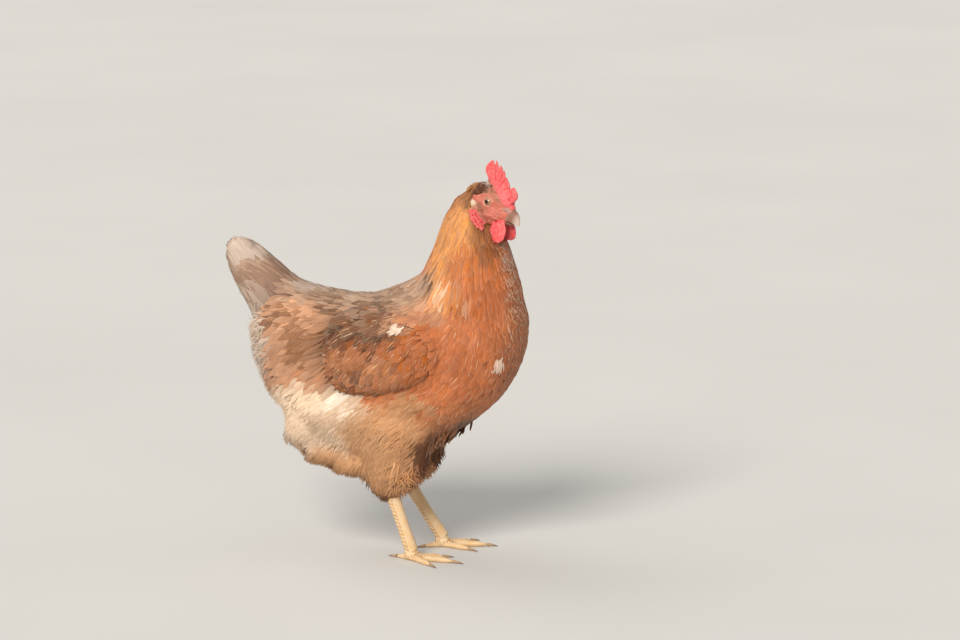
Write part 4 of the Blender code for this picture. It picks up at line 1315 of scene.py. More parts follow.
def coat(name, ground, chosen, part, style, rows, axis=BODY_AXIS, seed=1):
    """A region of feathers over chosen faces of the skin.

    In a style, gap, length, width, tip and trim are functions of place. locks is how many feathers
    share a root, and jitter how far apart they start. root is the height of the roots, in metres,
    and lift the range of a factor on the height of the tips. yaw, curl and roll are how unevenly
    the feathers turn, in radians. fit is a closed surface, or None for the coat's outline, and how
    far a feather may stand out of it. stop is above zero where a feather has to end. soft is how
    far the shading follows the body, blend how far off a feather's colour may come from, variety
    how much it varies, and shade a colour that most of it takes.
    """
    style = {**PLAIN, **style}
    rng = np.random.default_rng(seed)
    roots, normals = ground.scatter(chosen, style["gap"], seed)
    roots, normals = (np.repeat(values, style["locks"], axis=0) for values in (roots, normals))
    jitter = rng.normal(0, style["jitter"] * MM, roots.shape)
    roots = roots + jitter - normals * (jitter * normals).sum(1, keepdims=True)
    count = len(roots)
    ways = lie_at(roots, rows)
    stand = style["stand"]
    ways = unit(ways - (1 - stand) * normals * (ways * normals).sum(1, keepdims=True))
    ways = turned(ways, normals, rng.normal(0, style["yaw"], count))
    curl = rng.normal(0, style["curl"], count)
    lengths = style["length"](roots) * rng.uniform(0.85, 1.15, count)
    width = style["width"](roots) * rng.uniform(0.85, 1.12, count)
    tip = style["tip"](roots) * rng.uniform(*style["lift"], count)
    heights = np.stack([np.full(count, style["root"]), tip], 1)
    shape = style["shape"]
    stations = stations_of(shape)
    roll = rng.normal(0, style["roll"], count)

    def grown():
        bend = style["cling"], style["droop"], curl, stand
        return grow(ground, roots, normals, ways, lengths, heights, stations, *bend)

    line, ups = grown()
    tree, over = style["fit"]
    away = outside(line.reshape(-1, 3), tree or ground.outline)
    away = away.reshape(line.shape[:2]) - over * MM
    if "stop" in style:
        away = np.maximum(away, style["stop"](line))
    reach = np.ones(count)
    for k in range(len(stations) - 1, 0, -1):
        out = away[:, k] > 0
        share = np.clip(-away[:, k - 1] / np.maximum(away[:, k] - away[:, k - 1], 1e-9), 0, 1)
        reach[out] = (stations[k - 1] + share * (stations[k] - stations[k - 1]))[out]
    kept = (reach > SHORTEST_SHARE) & (away[:, 0] < 0)
    lengths = lengths * reach
    tip_share = np.clip(reach * 1.3, 0, 1)
    heights[:, 1] = heights[:, 0] + (heights[:, 1] - heights[:, 0]) * tip_share
    line, ups = grown()
    line, ups, width, roll = line[kept], ups[kept], width[kept], roll[kept]
    width = width * np.clip(0.45 + 0.6 * reach[kept], 0, 1)
    count = len(line)
    if not style["soft"]:
        forward = unit(np.gradient(line, axis=1))
        for k in range(line.shape[1]):
            ups[:, k] = turned(ups[:, k], forward[:, k], roll)
    seen = line[:, int(0.7 * (len(stations) - 1))]
    blend = rng.normal(0, style["blend"] * MM, seen.shape)
    tint = varied(seen + blend, np.full(count, PART[part]), style["variety"], seed + 1)
    if "shade" in style:
        tint = 0.35 * tint + 0.65 * colour_of(style["shade"])
    trim = style["trim"](seen) * rng.uniform(0.6, 1.3, (count, 3))
    trim[:, 0] *= 2.4 * rng.random(count) ** 2
    feather_piece(
        name, shape, line, ups, width, tint, trim, axis,
        style["across"], style["camber"], seed + 2, style["soft"],
    )


def coat_sides(name, ground, chosen, part, style, rows, seed):
    """The same region on the right and on the left, as a piece each."""
    for label, side in SIDES:
        where = chosen & ground.on_side(side)
        coat(f"{name}_{label}", ground, where, part, style, rows, seed=seed + side)


def even(value):
    return lambda points: np.full(len(points), value * MM)


def graded(axis, low, high, start, end):
    """A length that changes from start at low to end at high along an axis, all in millimetres."""
    return lambda points: MM * (start + (end - start) * ease(points[:, axis] / MM, low, high))


def trims(shaft, rim, dark):
    return lambda points: np.tile(np.array((shaft, rim, dark)), (len(points), 1))


def breast_trim(points):
    """Scalloped with darker middles down the breast's front, plain with pale shafts beside it."""
    place = points / MM
    front = ease(place[:, 0], 128, 158)
    low = ease(-place[:, 2], -190, -150) * ease(place[:, 0], 60, 100)
    scallop = np.maximum(front, low)
    return np.stack([0.46 - 0.40 * front, 0.05 + 0.40 * scallop, 0.06 + 0.50 * scallop], 1)


def is_soft(points):
    """True where the plumage is soft and downy: below the wing, behind it and round the thighs."""
    place = points / MM
    edge = 26 + 0.80 * (182 - place[:, 2]) + 7 * ripple(points, 0.030, 90)
    return (place[:, 0] < edge) & (place[:, 2] < 186 + 4 * ripple(points, 0.025, 91))


def build_trunk_feathers(ground):
    def front(points):
        return ease(points[:, 0] / MM, 125, 155)

    style = dict(
        shape="contour", gap=lambda p: MM * (4.8 - 0.8 * front(p)),
        length=lambda p: MM * (24 - 6 * front(p)), width=lambda p: MM * (4.7 - 1.3 * front(p)),
        tip=even(2.6), trim=breast_trim, variety=0.05, across=5, camber=0.10, roll=0.06, soft=0.4,
    )
    firm = ground.of("trunk") & ~is_soft(ground.middles)
    coat_sides("breast_plumage", ground, firm, "trunk", style, LIE, 115)


def clear_of_fold(line):
    """Above zero where a feather would cover the red fold behind the jaw or the wattles."""
    local = in_head(line.reshape(-1, 3))
    fold = 1.9 - 1.3 * ease(local[:, 0], 7, 12) - fold_distance(local)
    return (fold * MM).reshape(line.shape[:2])


def hackle_length(points):
    local = in_head(points)
    throat = ease(local[:, 0] - np.interp(local[:, 2], (-27, -12), (14, -6)), -2, 2)
    short = np.maximum(throat * (local[:, 2] > -34), 1.1 * neck_front(points))
    return graded(2, 300, 400, 40, 15)(points) * (1 - 0.5 * short)


def neck_front(points):
    """1 down the front of the neck, where the hackles are short and scaly."""
    place = points / MM
    edge = np.interp(place[:, 2], (280, 310, 345, 385), (152, 146, 136, 126))
    return ease(place[:, 0] - edge, -3, 6)


def hackle_width(points):
    return graded(2, 300, 395, 2.3, 1.35)(points) * (1 + 0.45 * neck_front(points))


def hackle_tip(points):
    nape = 0.8 * MM * ease(-in_head(points)[:, 0], 12, 20)
    return graded(2, 330, 400, 2.3, 0.9)(points) + nape * ease(points[:, 2], 0.375, 0.395)


def hackle_trim(points):
    front = neck_front(points)
    return np.stack([np.full(len(points), 0.06), 0.12 + 0.60 * front, 0.14 + 0.40 * front], 1)


def build_hackles(ground):
    style = dict(
        shape="hackle", gap=graded(2, 300, 395, 3.2, 1.8), length=hackle_length, width=hackle_width,
        tip=hackle_tip, trim=hackle_trim, variety=0.10, yaw=0.10, camber=0.18, soft=0.5,
        stop=clear_of_fold,
    )
    neck = ground.of("neck") | ground.of("head")
    coat_sides("hackles", ground, neck, "neck", style, LIE, 215)


def build_saddle_feathers(ground):
    style = dict(
        shape="contour", gap=even(3.9), length=graded(2, 200, 300, 24, 26),
        width=graded(2, 200, 300, 2.9, 3.1), tip=even(2.8), trim=trims(0.22, 0.10, 0.06),
        variety=0.055, yaw=0.15, camber=0.14, soft=0.5,
    )
    firm = ground.of("saddle") & ~is_soft(ground.middles)
    coat("saddle_plumage", ground, firm, "saddle", style, LIE, seed=310)


SOFT = dict(
    shape="lock", gap=even(4.6), length=even(24), width=even(1.5), tip=even(3.0), lift=(0.85, 1.10),
    root=0.0014, locks=7, jitter=1.8, yaw=0.12, curl=0.22, cling=0.7, droop=0.05, fit=(None, 5.0),
    trim=trims(0.0, 0.0, 0.0), variety=0.025, camber=0.15, soft=0.93,
)


def build_fluff(ground):
    sides = (ground.of("trunk") | ground.of("saddle")) & is_soft(ground.middles)
    coat_sides("fluff", ground, ground.of("fluff") | sides, "fluff", SOFT, LIE, 415)


def build_wisps(ground):
    """Pale curled wisps that stand out behind the rump and under the tail."""
    style = dict(
        SOFT, gap=even(6.5), length=even(21), width=even(0.6), tip=even(6.0), locks=8, yaw=0.5,
        curl=1.2, cling=0.1, stand=0.25, soft=0.5, fit=(None, 8.0), shade="ash",
    )
    middles = ground.middles / MM
    x, _, z = middles.T
    rear = (ground.of("saddle") | ground.of("fluff")) & (x < -106) & (z > 172) & (z < 262)
    coat("rump_wisps", ground, rear, "fluff", style, LIE, seed=450)
    style.update(length=even(22), tip=even(2.2), width=even(0.7), fit=(None, 2.5))
    style.update(yaw=0.2, curl=0.4, stand=0.0)
    edge = np.interp(z, (255, 345), (-122, -162))
    under = (ground.of("tail") | ground.of("saddle")) & (x < edge) & (z > 246) & (z < 306)
    coat("tail_fluff", ground, under, "tail", style, TAIL_LIE, seed=455)
    style.update(length=even(9), tip=even(1.6), yaw=0.3, shade="plume", fit=(None, 2.0))
    along = ((middles - TAIL_AXIS[0]) * unit(np.subtract(TAIL_AXIS[1], TAIL_AXIS[0]))).sum(1)
    where = ground.of("tail") & (along > TAIL_TIP_FROM)
    coat("tail_tip_down", ground, where, "tail", style, TAIL_LIE, seed=460)


def build_thigh_feathers(ground):
    style = dict(
        SOFT, gap=graded(2, 80, 150, 3.8, 4.8), length=graded(2, 72, 140, 15, 24),
        width=graded(2, 80, 150, 1.1, 1.5), tip=graded(2, 80, 130, 2.6, 3.0), droop=0.2,
    )
    for label, side in SIDES:
        where = ground.of("thigh") & ground.on_side(side)
        hock = LEGS[label][0]
        axis = ((hock[0], hock[1], 190), hock)
        name = f"thigh_plumage_{label}"
        coat(name, ground, where, "thigh", style, LIE, axis, seed=510 + side)
        fringe = dict(
            SOFT, gap=even(3.6), length=even(20), width=even(1.5), tip=even(5.0), locks=4, yaw=0.35,
            curl=0.6, variety=0.14, cling=0.1, stand=0.25, soft=0.3, fit=(None, 8.0),
        )
        x, _, z = (ground.middles / MM).T
        front = where & (x > hock[0] + 14) & (z < 118) & (z > 90)
        name = f"hock_tufts_{label}"
        coat(name, ground, front, "thigh", fringe, LIE, axis, seed=530 + side)


def build_white_flecks(ground):
    """The few white feathers on the wings and the breast."""
    style = dict(
        SOFT, gap=even(3.0), length=even(10), width=even(0.8), tip=even(3.4), root=0.0022, locks=10,
        jitter=1.7, yaw=0.16, soft=0.4, shade="white",
    )
    middles = np.abs(ground.middles / MM * (0, 1, 0)) + ground.middles / MM * (1, 0, 1)
    near = np.zeros(len(middles), bool)
    for middle, half in WHITE_FLECKS:
        near |= np.linalg.norm((middles - middle) / half, axis=1) < 1
    near &= ground.of("wing") | ground.of("trunk")
    coat("white_flecks", ground, near, "trunk", style, LIE, seed=170)


def build_belly_tufts(ground):
    """Ragged feathers that hang between the breast and the thighs."""
    style = dict(
        shape="contour", gap=even(6.0), length=even(26), width=even(3.6), tip=even(4.5),
        trim=trims(0.1, 0.40, 0.5), shade="dun", variety=0.16, yaw=0.45, cling=0.02, stand=0.6,
        roll=0.5, fit=(None, 12.0),
    )
    x, _, z = (ground.middles / MM).T
    where = ground.of("trunk") & (x > 72) & (x < 118) & (z < 152)
    coat("belly_tufts", ground, where, "trunk", style, BELLY_LIE, seed=150)


def build_wing_feathers(ground):
    def front(points):
        return ease(points[:, 0] / MM, 10, 75)

    def top(points):
        return ease(points[:, 2] / MM, 240, 280)

    style = dict(
        shape="contour", gap=lambda p: MM * (5.2 - 1.4 * front(p) - 0.8 * top(p)),
        length=lambda p: MM * (26 - 9 * front(p) - 4 * top(p)),
        width=lambda p: MM * (4.4 - 1.2 * front(p)), tip=even(2.0), trim=trims(0.48, 0.10, 0.22),
        variety=0.10, yaw=0.08, across=5, camber=0.10, cling=0.35, roll=0.05, soft=0.4, blend=4.5,
    )
    for label, side in SIDES:
        style["fit"] = (tree_of([f"wing_{label}"]), 0.8)
        where = ground.of("wing") & ground.on_side(side)
        axis = ((80, 40 * side, 240), (-70, 40 * side, 240))
        name = f"wing_plumage_{label}"
        coat(name, ground, where, "wing", style, WING_LIE, axis, seed=610 + side)


def to_tail_tip(points):
    """How far it is from each place to the end of the tail."""
    start, end = (np.array(row, float) * MM for row in TAIL_AXIS)
    return np.clip((end - points) @ unit(end - start) + 0.003, 0.014, 0.062)


def build_tail_feathers(ground):
    style = dict(
        shape="blade", gap=even(5.6), length=to_tail_tip, width=even(6.6), tip=even(2.4),
        trim=trims(0.22, 0.25, 0.0), variety=0.05, yaw=0.06, across=5, camber=0.10, cling=0.75,
        roll=0.05, soft=0.4, fit=(tree_of(["tail", "saddle"]), 1.2),
    )
    where = ground.of("tail")
    coat("tail_plumage", ground, where, "tail", style, TAIL_LIE, seed=710)


def crown_lie(points):
    """Back over the crown and the nape, down behind the ear."""
    matrix = np.array(head_frame())[:3, :3]
    local = in_head(points)
    x, z = local[:, 0], local[:, 2]
    down = np.clip((4 - z) / 14, -0.12, 1.2) + 0.5 * ease(-x, 14, 30)
    way = np.stack([-np.ones(len(x)), np.zeros(len(x)), -down], 1)
    return unit(way @ matrix.T)


def build_face_bristles(ground):
    """Sparse tiny feathers over the bare face, thickest round the ear."""
    rng = np.random.default_rng(830)
    local = ground.local[ground.faces].mean(1)
    red = ground.red[ground.faces].max(1) + ground.lobe[ground.faces].max(1)
    ring = np.hypot(local[:, 0] - EYE_MIDDLE[0], local[:, 2] - EYE_MIDDLE[2])
    face = ground.all_of("bare") & (red < 0.1) & (ring > 6.4) & (local[:, 0] < 24)
    face &= (local[:, 2] > -20) & (local[:, 2] < np.interp(local[:, 0], (-4, 2), (13, 17)))

    def thick(points):
        """1 round the ear and over the brow."""
        x, _, z = in_head(points).T
        ear = ease(-np.hypot(x + 3, z + 7), -9, -4)
        return np.maximum(ear, ease(z - on_line(x, CROWN_LINE), -1, 1.5) * ease(x, -3, 2))

    roots, normals = ground.scatter(face, lambda points: MM * (1.7 - 1.0 * thick(points)), 831)
    count = len(roots)
    near = thick(roots)
    ways = turned(unit(crown_lie(roots)), normals, rng.normal(0, 0.2, count))
    lengths = MM * (1.3 + 1.5 * near) * rng.uniform(0.7, 1.3, count)
    heights = np.stack([np.full(count, 0.00005), MM * rng.uniform(0.2, 0.6, count)], 1)
    line, ups = grow(ground, roots, normals, ways, lengths, heights, stations_of("small"), 0.8)
    width = MM * (0.07 + 0.10 * near)
    pale, dark = np.array((0.60, 0.28, 0.18)), np.array((0.27, 0.075, 0.035))
    tint = np.where(rng.random((count, 1)) < 0.70, pale, dark)
    trim = np.zeros((count, 3))
    feather_piece(
        "face_bristles", "small", line, ups, width, tint, trim, BODY_AXIS, seed=832
    )


def build_head_feathers(ground):
    rng = np.random.default_rng(810)

    def gap(points):
        return MM * (1.0 + 0.7 * ease(-in_head(points)[:, 0], 6, 26))

    roots, normals = ground.scatter(ground.all_of("crown"), gap, 811)
    local = in_head(roots)
    count = len(roots)
    back = ease(-local[:, 0], 2, 26)
    lengths = MM * (3.4 + 5.0 * back) * rng.uniform(0.8, 1.2, count)
    width = MM * (0.30 + 0.60 * back) * rng.uniform(0.8, 1.2, count)
    ways = turned(unit(crown_lie(roots)), normals, rng.normal(0, 0.16, count))
    tips = MM * (0.45 + 0.35 * back) * rng.uniform(0.8, 1.2, count)
    heights = np.stack([np.full(count, 0.00015), tips], 1)
    line, ups = grow(ground, roots, normals, ways, lengths, heights, stations_of("small"), 0.95)
    tint = varied(line[:, 2], np.full(count, PART["crown"]), 0.14, 812)
    gold = (rng.random((count, 1)) < 0.20) * (0.45 + 0.55 * back[:, None])
    tint = mixed(tint * rng.uniform(0.55, 1.15, (count, 1)), colour_of("nape"), gold)
    front = ease(local[:, 0], -5, 3)[:, None]
    dark = rng.random((count, 1)) < 0.6
    bristle = np.where(dark, np.array((0.15, 0.045, 0.018)), np.array((0.50, 0.25, 0.17)))
    tint = mixed(tint, bristle, front)
    trim = np.tile((0.0, 0.05, 0.1), (count, 1))
    feather_piece(
        "head_plumage", "small", line, ups, width, tint, trim, BODY_AXIS,
        seed=813, softness=0.5,
    )


# Other pieces


def ring_mesh(name, rings):
    """A closed mesh through rings of places of the head's frame, each end closed by one face."""
    steps, points, _ = rings.shape
    index = np.arange(steps * points).reshape(steps, points)
    onward = np.roll(index, -1, axis=1)
    quads = np.stack([index[:-1], onward[:-1], onward[1:], index[1:]], -1).reshape(-1)
    loops = np.concatenate([quads, index[0, ::-1], index[-1]])
    sizes = np.array([4] * ((steps - 1) * points) + [points] * 2)
    return mesh_from(name, from_head(rings.reshape(-1, 3)), loops, sizes)


def build_bill_half(name, upper):
    """One half of the bill: an arched horn sheath with a ridge and faint growth lines."""
    steps, points = 72, 56
    t = np.sin(np.linspace(0, math.pi / 2, steps))[:, None]
    angle = np.linspace(0, 2 * math.pi, points, endpoint=False)[None]
    taper = np.sqrt(np.clip(1 - t**3, 0, 1))
    x = BILL_ROOT + ((BILL_TIP if upper else BILL_LOWER_TIP) - BILL_ROOT) * t
    width = np.maximum(0.5, BILL_WIDTH * taper**1.2 * (1.0 if upper else 0.84))
    cos, sin = np.cos(angle), np.sin(angle)
    flat = np.sign(cos) * np.abs(cos) ** 1.08
    if upper:
        rise, drop = np.maximum(0.6, BILL_DEPTH * taper), 0.8
        middle = BILL_GAPE + 0.2 + drop - BILL_HOOK * t**6
        arch = np.sign(sin) * np.abs(sin) ** np.where(sin > 0, 1.12, 1.0)
    else:
        rise, drop = 0.8, np.maximum(0.6, BILL_LOWER_DEPTH * taper)
        middle = BILL_GAPE - 0.2 - rise - BILL_HOOK * 0.5
        arch = sin
    height = np.where(arch > 0, rise * arch, drop * arch)
    lines = 1 + 0.004 * np.sin(x * 2 * math.pi / 1.15) * (1 - t)
    y = width * flat * lines
    z = middle + height * lines
    local = np.stack([np.broadcast_to(x, y.shape), y, z], -1)
    mesh = ring_mesh(f"{name}_horn", local)
    add_colour(mesh, "reach", np.repeat(t, points, axis=0))
    _, colours = settings()
    # Only the upper half has the cere's colour at its root. The lower half also keeps the darker
    # bill colour out to its tip, as painted shade under the upper bill.
    stops = (
        (0.25, colours.cere if upper else colours.bill),
        (0.46, colours.bill),
        (0.66, colours.bill),
        (0.96, colours.bill_tip if upper else colours.bill),
    )
    obj = new_object(f"{name}_horn", mesh, horn_material(f"{name}_sheath", stops, 0.10))
    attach(obj, "root")
    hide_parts(name)


def build_eye(name, side):
    """An eyeball with a raised cornea, turned outwards."""
    node = f"eye_{name}"
    low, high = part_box(node)
    radius = (high - low).z / 2 / MM
    rings, points = 48, 64
    angle = np.linspace(0.004, math.pi - 0.004, rings)[:, None]
    turn = np.linspace(0, 2 * math.pi, points, endpoint=False)[None]
    reach = np.sin(angle)
    bulge = radius * (1 + CORNEA_RISE * np.exp(-((angle / CORNEA_REACH) ** 4)))
    outward = bulge * np.cos(angle)
    flat = radius * np.sin(angle)
    local = np.stack(
        [
            EYE_MIDDLE[0] + flat * np.cos(turn) * np.ones_like(outward),
            side * (EYE_MIDDLE[1] + outward * np.ones_like(turn)),
            EYE_MIDDLE[2] + flat * np.sin(turn),
        ],
        -1,
    )
    if side > 0:
        local = local[:, ::-1]
    mesh = ring_mesh(f"{node}_ball", local)
    front = np.where(angle < math.pi / 2, reach, 1.0)
    add_colour(mesh, "reach", np.repeat(front, points, axis=0))
    around = np.tile(turn.ravel()[:: -1 if side > 0 else 1], rings)
    ray = np.stack([np.cos(around), np.sin(around), np.repeat(front.ravel() * 0.25, points)], 1)
    add_colour(mesh, "ray", ray * 0.5 + 0.5)
    material = bpy.data.materials.get("eyeball") or eye_material()
    obj = new_object(f"{node}_ball", mesh, material)
    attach(obj, "root")
    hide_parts(node)


def toe_lines(name):
    """Start, end and radius of the shank and of each toe, in millimetres."""
    hock, ankle, turn = LEGS[name]
    mirrored = name == "left"
    rows = [(np.array(hock, float), np.array(ankle, float), 6.2, "shank")]
    for toe, (angle, length, radius) in TOES.items():
        heading = math.radians(turn) + math.radians(angle) * (1 if mirrored else -1)
        start = np.array((ankle[0], ankle[1], radius - 0.9))
        way = np.array((math.cos(heading), math.sin(heading), 0))
        rows.append((start, start + way * length, radius, toe))
    return rows


def scutes(points, name):
    """How far each place of a leg stands out as a scale, in millimetres, and its share of sole."""
    place = points / MM
    best = np.full(len(place), 1e9)
    raised, sole = np.zeros(len(place)), np.zeros(len(place))
    for start, end, radius, kind in toe_lines(name):
        run = end - start
        length = np.linalg.norm(run)
        way = run / length
        along = (place - start) @ way
        inside = np.clip(along, 0, length)
        away = place - (start + inside[:, None] * way)
        reach = np.linalg.norm(away, axis=1) / radius
        shank = kind == "shank"
        front = unit(np.cross((0.0, 1.0, 0.0), way)) if shank else np.array((0.0, 0.0, 1.0))
        sideways = np.cross(way, front)
        turn = np.arctan2(away @ sideways, away @ front)
        size = SCUTE_LENGTH if shank else TOE_SCUTE_LENGTH
        bend = np.abs(turn) * (0.9 if shank else 0.5)
        row = np.where((turn > 0) & shank, 0.5, 0.0)
        phase = (inside - 1.6 * bend**2) / size + row + 0.08 * np.sin(inside * 0.9)
        tooth = phase - np.floor(phase)
        plate = np.where(tooth < 0.82, tooth / 0.82, (1 - tooth) / 0.18) - 0.4
        limit = 1.25 if shank else 1.05
        gutter = np.exp(-((np.abs(turn) - limit) ** 2) / 0.012)
        if shank:
            gutter = np.maximum(gutter, np.exp(-(turn**2) / 0.006))
        on_top = 1 - ease(np.abs(turn), limit - 0.1, limit + 0.1)
        small = np.sin(inside * 2 * math.pi / 2.0 + 2.2 * np.sin(turn * 5))
        small = small * np.sin(turn * radius * 2 * math.pi / 2.4)
        found = on_top * plate * SCUTE_STEP * (1.0 if shank else 0.75)
        found = found + (1 - on_top) * 0.17 * small - 0.22 * gutter
        closer = reach < best
        best[closer] = reach[closer]
        raised[closer] = found[closer]
        if not shank:
            sole[closer] = ease(np.abs(turn), 1.6, 2.2)[closer]
    return raised, sole


def build_leg(name):
    """Shank and foot under one scaly skin."""
    sizes, _ = settings()
    nodes = [f"shank_{name}", f"foot_{name}"]
    shell = Shell(remeshed(node_bmesh(nodes), sizes.leg_grain))
    shell.smooth(9)
    height = shell.points[:, 2] / MM
    swell = ease(height, 13, 22) * (0.8 + 1.1 * ease(height, 45, 86))
    shell.points += shell.normals() * (swell * MM)[:, None]
    raised, sole = scutes(shell.points, name)
    flat = ease(shell.points[:, 2] / MM, 0.3, 1.6)
    shell.points += shell.normals() * (raised * flat * MM)[:, None]
    shell.smooth(1)
    shell.points[:, 2] = np.maximum(shell.points[:, 2], 0.0)
    hollow = 0.5 + np.clip(shell.hollows(1) * 1.1, -0.45, 0.45)
    mesh = mesh_from(f"leg_{name}", shell.points, shell.loops, shell.sizes)
    add_colour(mesh, "relief", np.stack([hollow, sole * 0.7, sole], 1))
    material = bpy.data.materials.get("scaly_skin") or leg_material()
    obj = new_object(f"leg_{name}", mesh, material)
    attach(obj, "root")
    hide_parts(*nodes)


def build_claws(name):
    """Worn horn claws at the ends of the toes."""
    _, colours = settings()
    stops = ((0.0, colours.claw), (0.4, colours.claw), (1.0, colours.claw_tip))
    material = bpy.data.materials.get("claw_sheath") or horn_material("claw_sheath", stops, 0.2)
    ankle = np.array(LEGS[name][1])
    for toe in TOES:
        node = f"claw_{name}_{toe}"
        shell = Shell(remeshed(node_bmesh([node]), CLAW_GRAIN))
        shell.smooth(5)
        shell.points[:, 2] = np.maximum(shell.points[:, 2], 0.0)
        mesh = mesh_from(f"{node}_horn", shell.points, shell.loops, shell.sizes)
        reach = np.hypot(*(shell.points[:, :2] / MM - ankle[:2]).T)
        reach = (reach - reach.min()) / np.ptp(reach)
        add_colour(mesh, "reach", reach[:, None])
        obj = new_object(f"{node}_horn", mesh, material)
        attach(obj, "root")
        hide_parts(node)


# Stage

FLOOR_RADIUS = 40


def way_back(azimuth, elevation):
    """The way from the hen to a camera or a light; azimuth 0 is on its right side."""
    a, e = math.radians(azimuth), math.radians(elevation)
    return Vector((math.sin(a) * math.cos(e), -math.cos(a) * math.cos(e), math.sin(e)))


def build_camera():
    stage = bpy.context.scene.hen_stage
    data = bpy.data.cameras.new("camera")
    data.sensor_width = 36
    data.lens = stage.focal_length
    data.clip_start, data.clip_end = 0.05, 200
    camera = bpy.data.objects.new("camera", data)
    bpy.context.scene.collection.objects.link(camera)
    back = way_back(stage.azimuth, stage.elevation)
    camera.location = Vector(stage.aim) + back * stage.distance
    camera.rotation_euler = back.to_track_quat("Z", "Y").to_euler()
    bpy.context.scene.camera = camera


def build_floor():
    bm = bmesh.new()
    bmesh.ops.create_circle(bm, cap_ends=True, segments=96, radius=FLOOR_RADIUS)
    mesh = bpy.data.meshes.new("floor")
    bm.to_mesh(mesh)
    bm.free()
    g = Graph("floor")
    shade = g.step(g.noise(1.5, 2.0), 0.3, 0.7, 0.96, 1.0)
    colour = g.tinted((0.62, 0.61, 0.59), shade)
    obj = new_object("floor", mesh, g.finish(colour, 0.85, None, 0.0))


def build_light():
    stage = bpy.context.scene.hen_stage
    # Name, way round, height, power, softness in degrees, colour.
    rows = (
        ("key", stage.key_azimuth, stage.key_elevation, stage.key_strength, 24, (1.0, 0.955, 0.88)),
        ("fill", -118, 42, 0.8, 50, (1.0, 0.98, 0.95)),
    )
    for name, azimuth, elevation, strength, softness, colour in rows:
        data = bpy.data.lights.new(name, "SUN")
        data.energy, data.angle, data.color = strength, math.radians(softness), colour
        light = bpy.data.objects.new(name, data)
        bpy.context.scene.collection.objects.link(light)
        light.rotation_euler = way_back(azimuth, elevation).to_track_quat("Z", "Y").to_euler()
    world = bpy.data.worlds.new("studio")
    bpy.context.scene.world = world
    world.use_nodes = True
    back = world.node_tree.nodes["Background"]
    back.inputs[0].default_value = (1.0, 0.99, 0.97, 1.0)
    back.inputs[1].default_value = stage.sky_strength
    bpy.context.scene.view_settings.view_transform = "Standard"


# Settings, operators and panel


def colour(name, description, value):
    return FloatVectorProperty(
        name=name, description=description, subtype="COLOR", size=3, min=0.0, max=1.0, default=value
    )


def number(name, description, value, **more):
    return FloatProperty(name=name, description=description, default=value, **more)


def grain(name, description, value, least):
    return number(name, description, value, min=least, unit="LENGTH")


class HenSizes(bpy.types.PropertyGroup):
    body_grain: grain("Body grain", "Face size of the body's skin", 0.0032, 0.0015)
    face_grain: grain("Face grain", "Face size of the head's skin", 0.00056, 0.0003)
    leg_grain: grain("Leg grain", "Face size of the legs' skin", 0.0006, 0.0004)


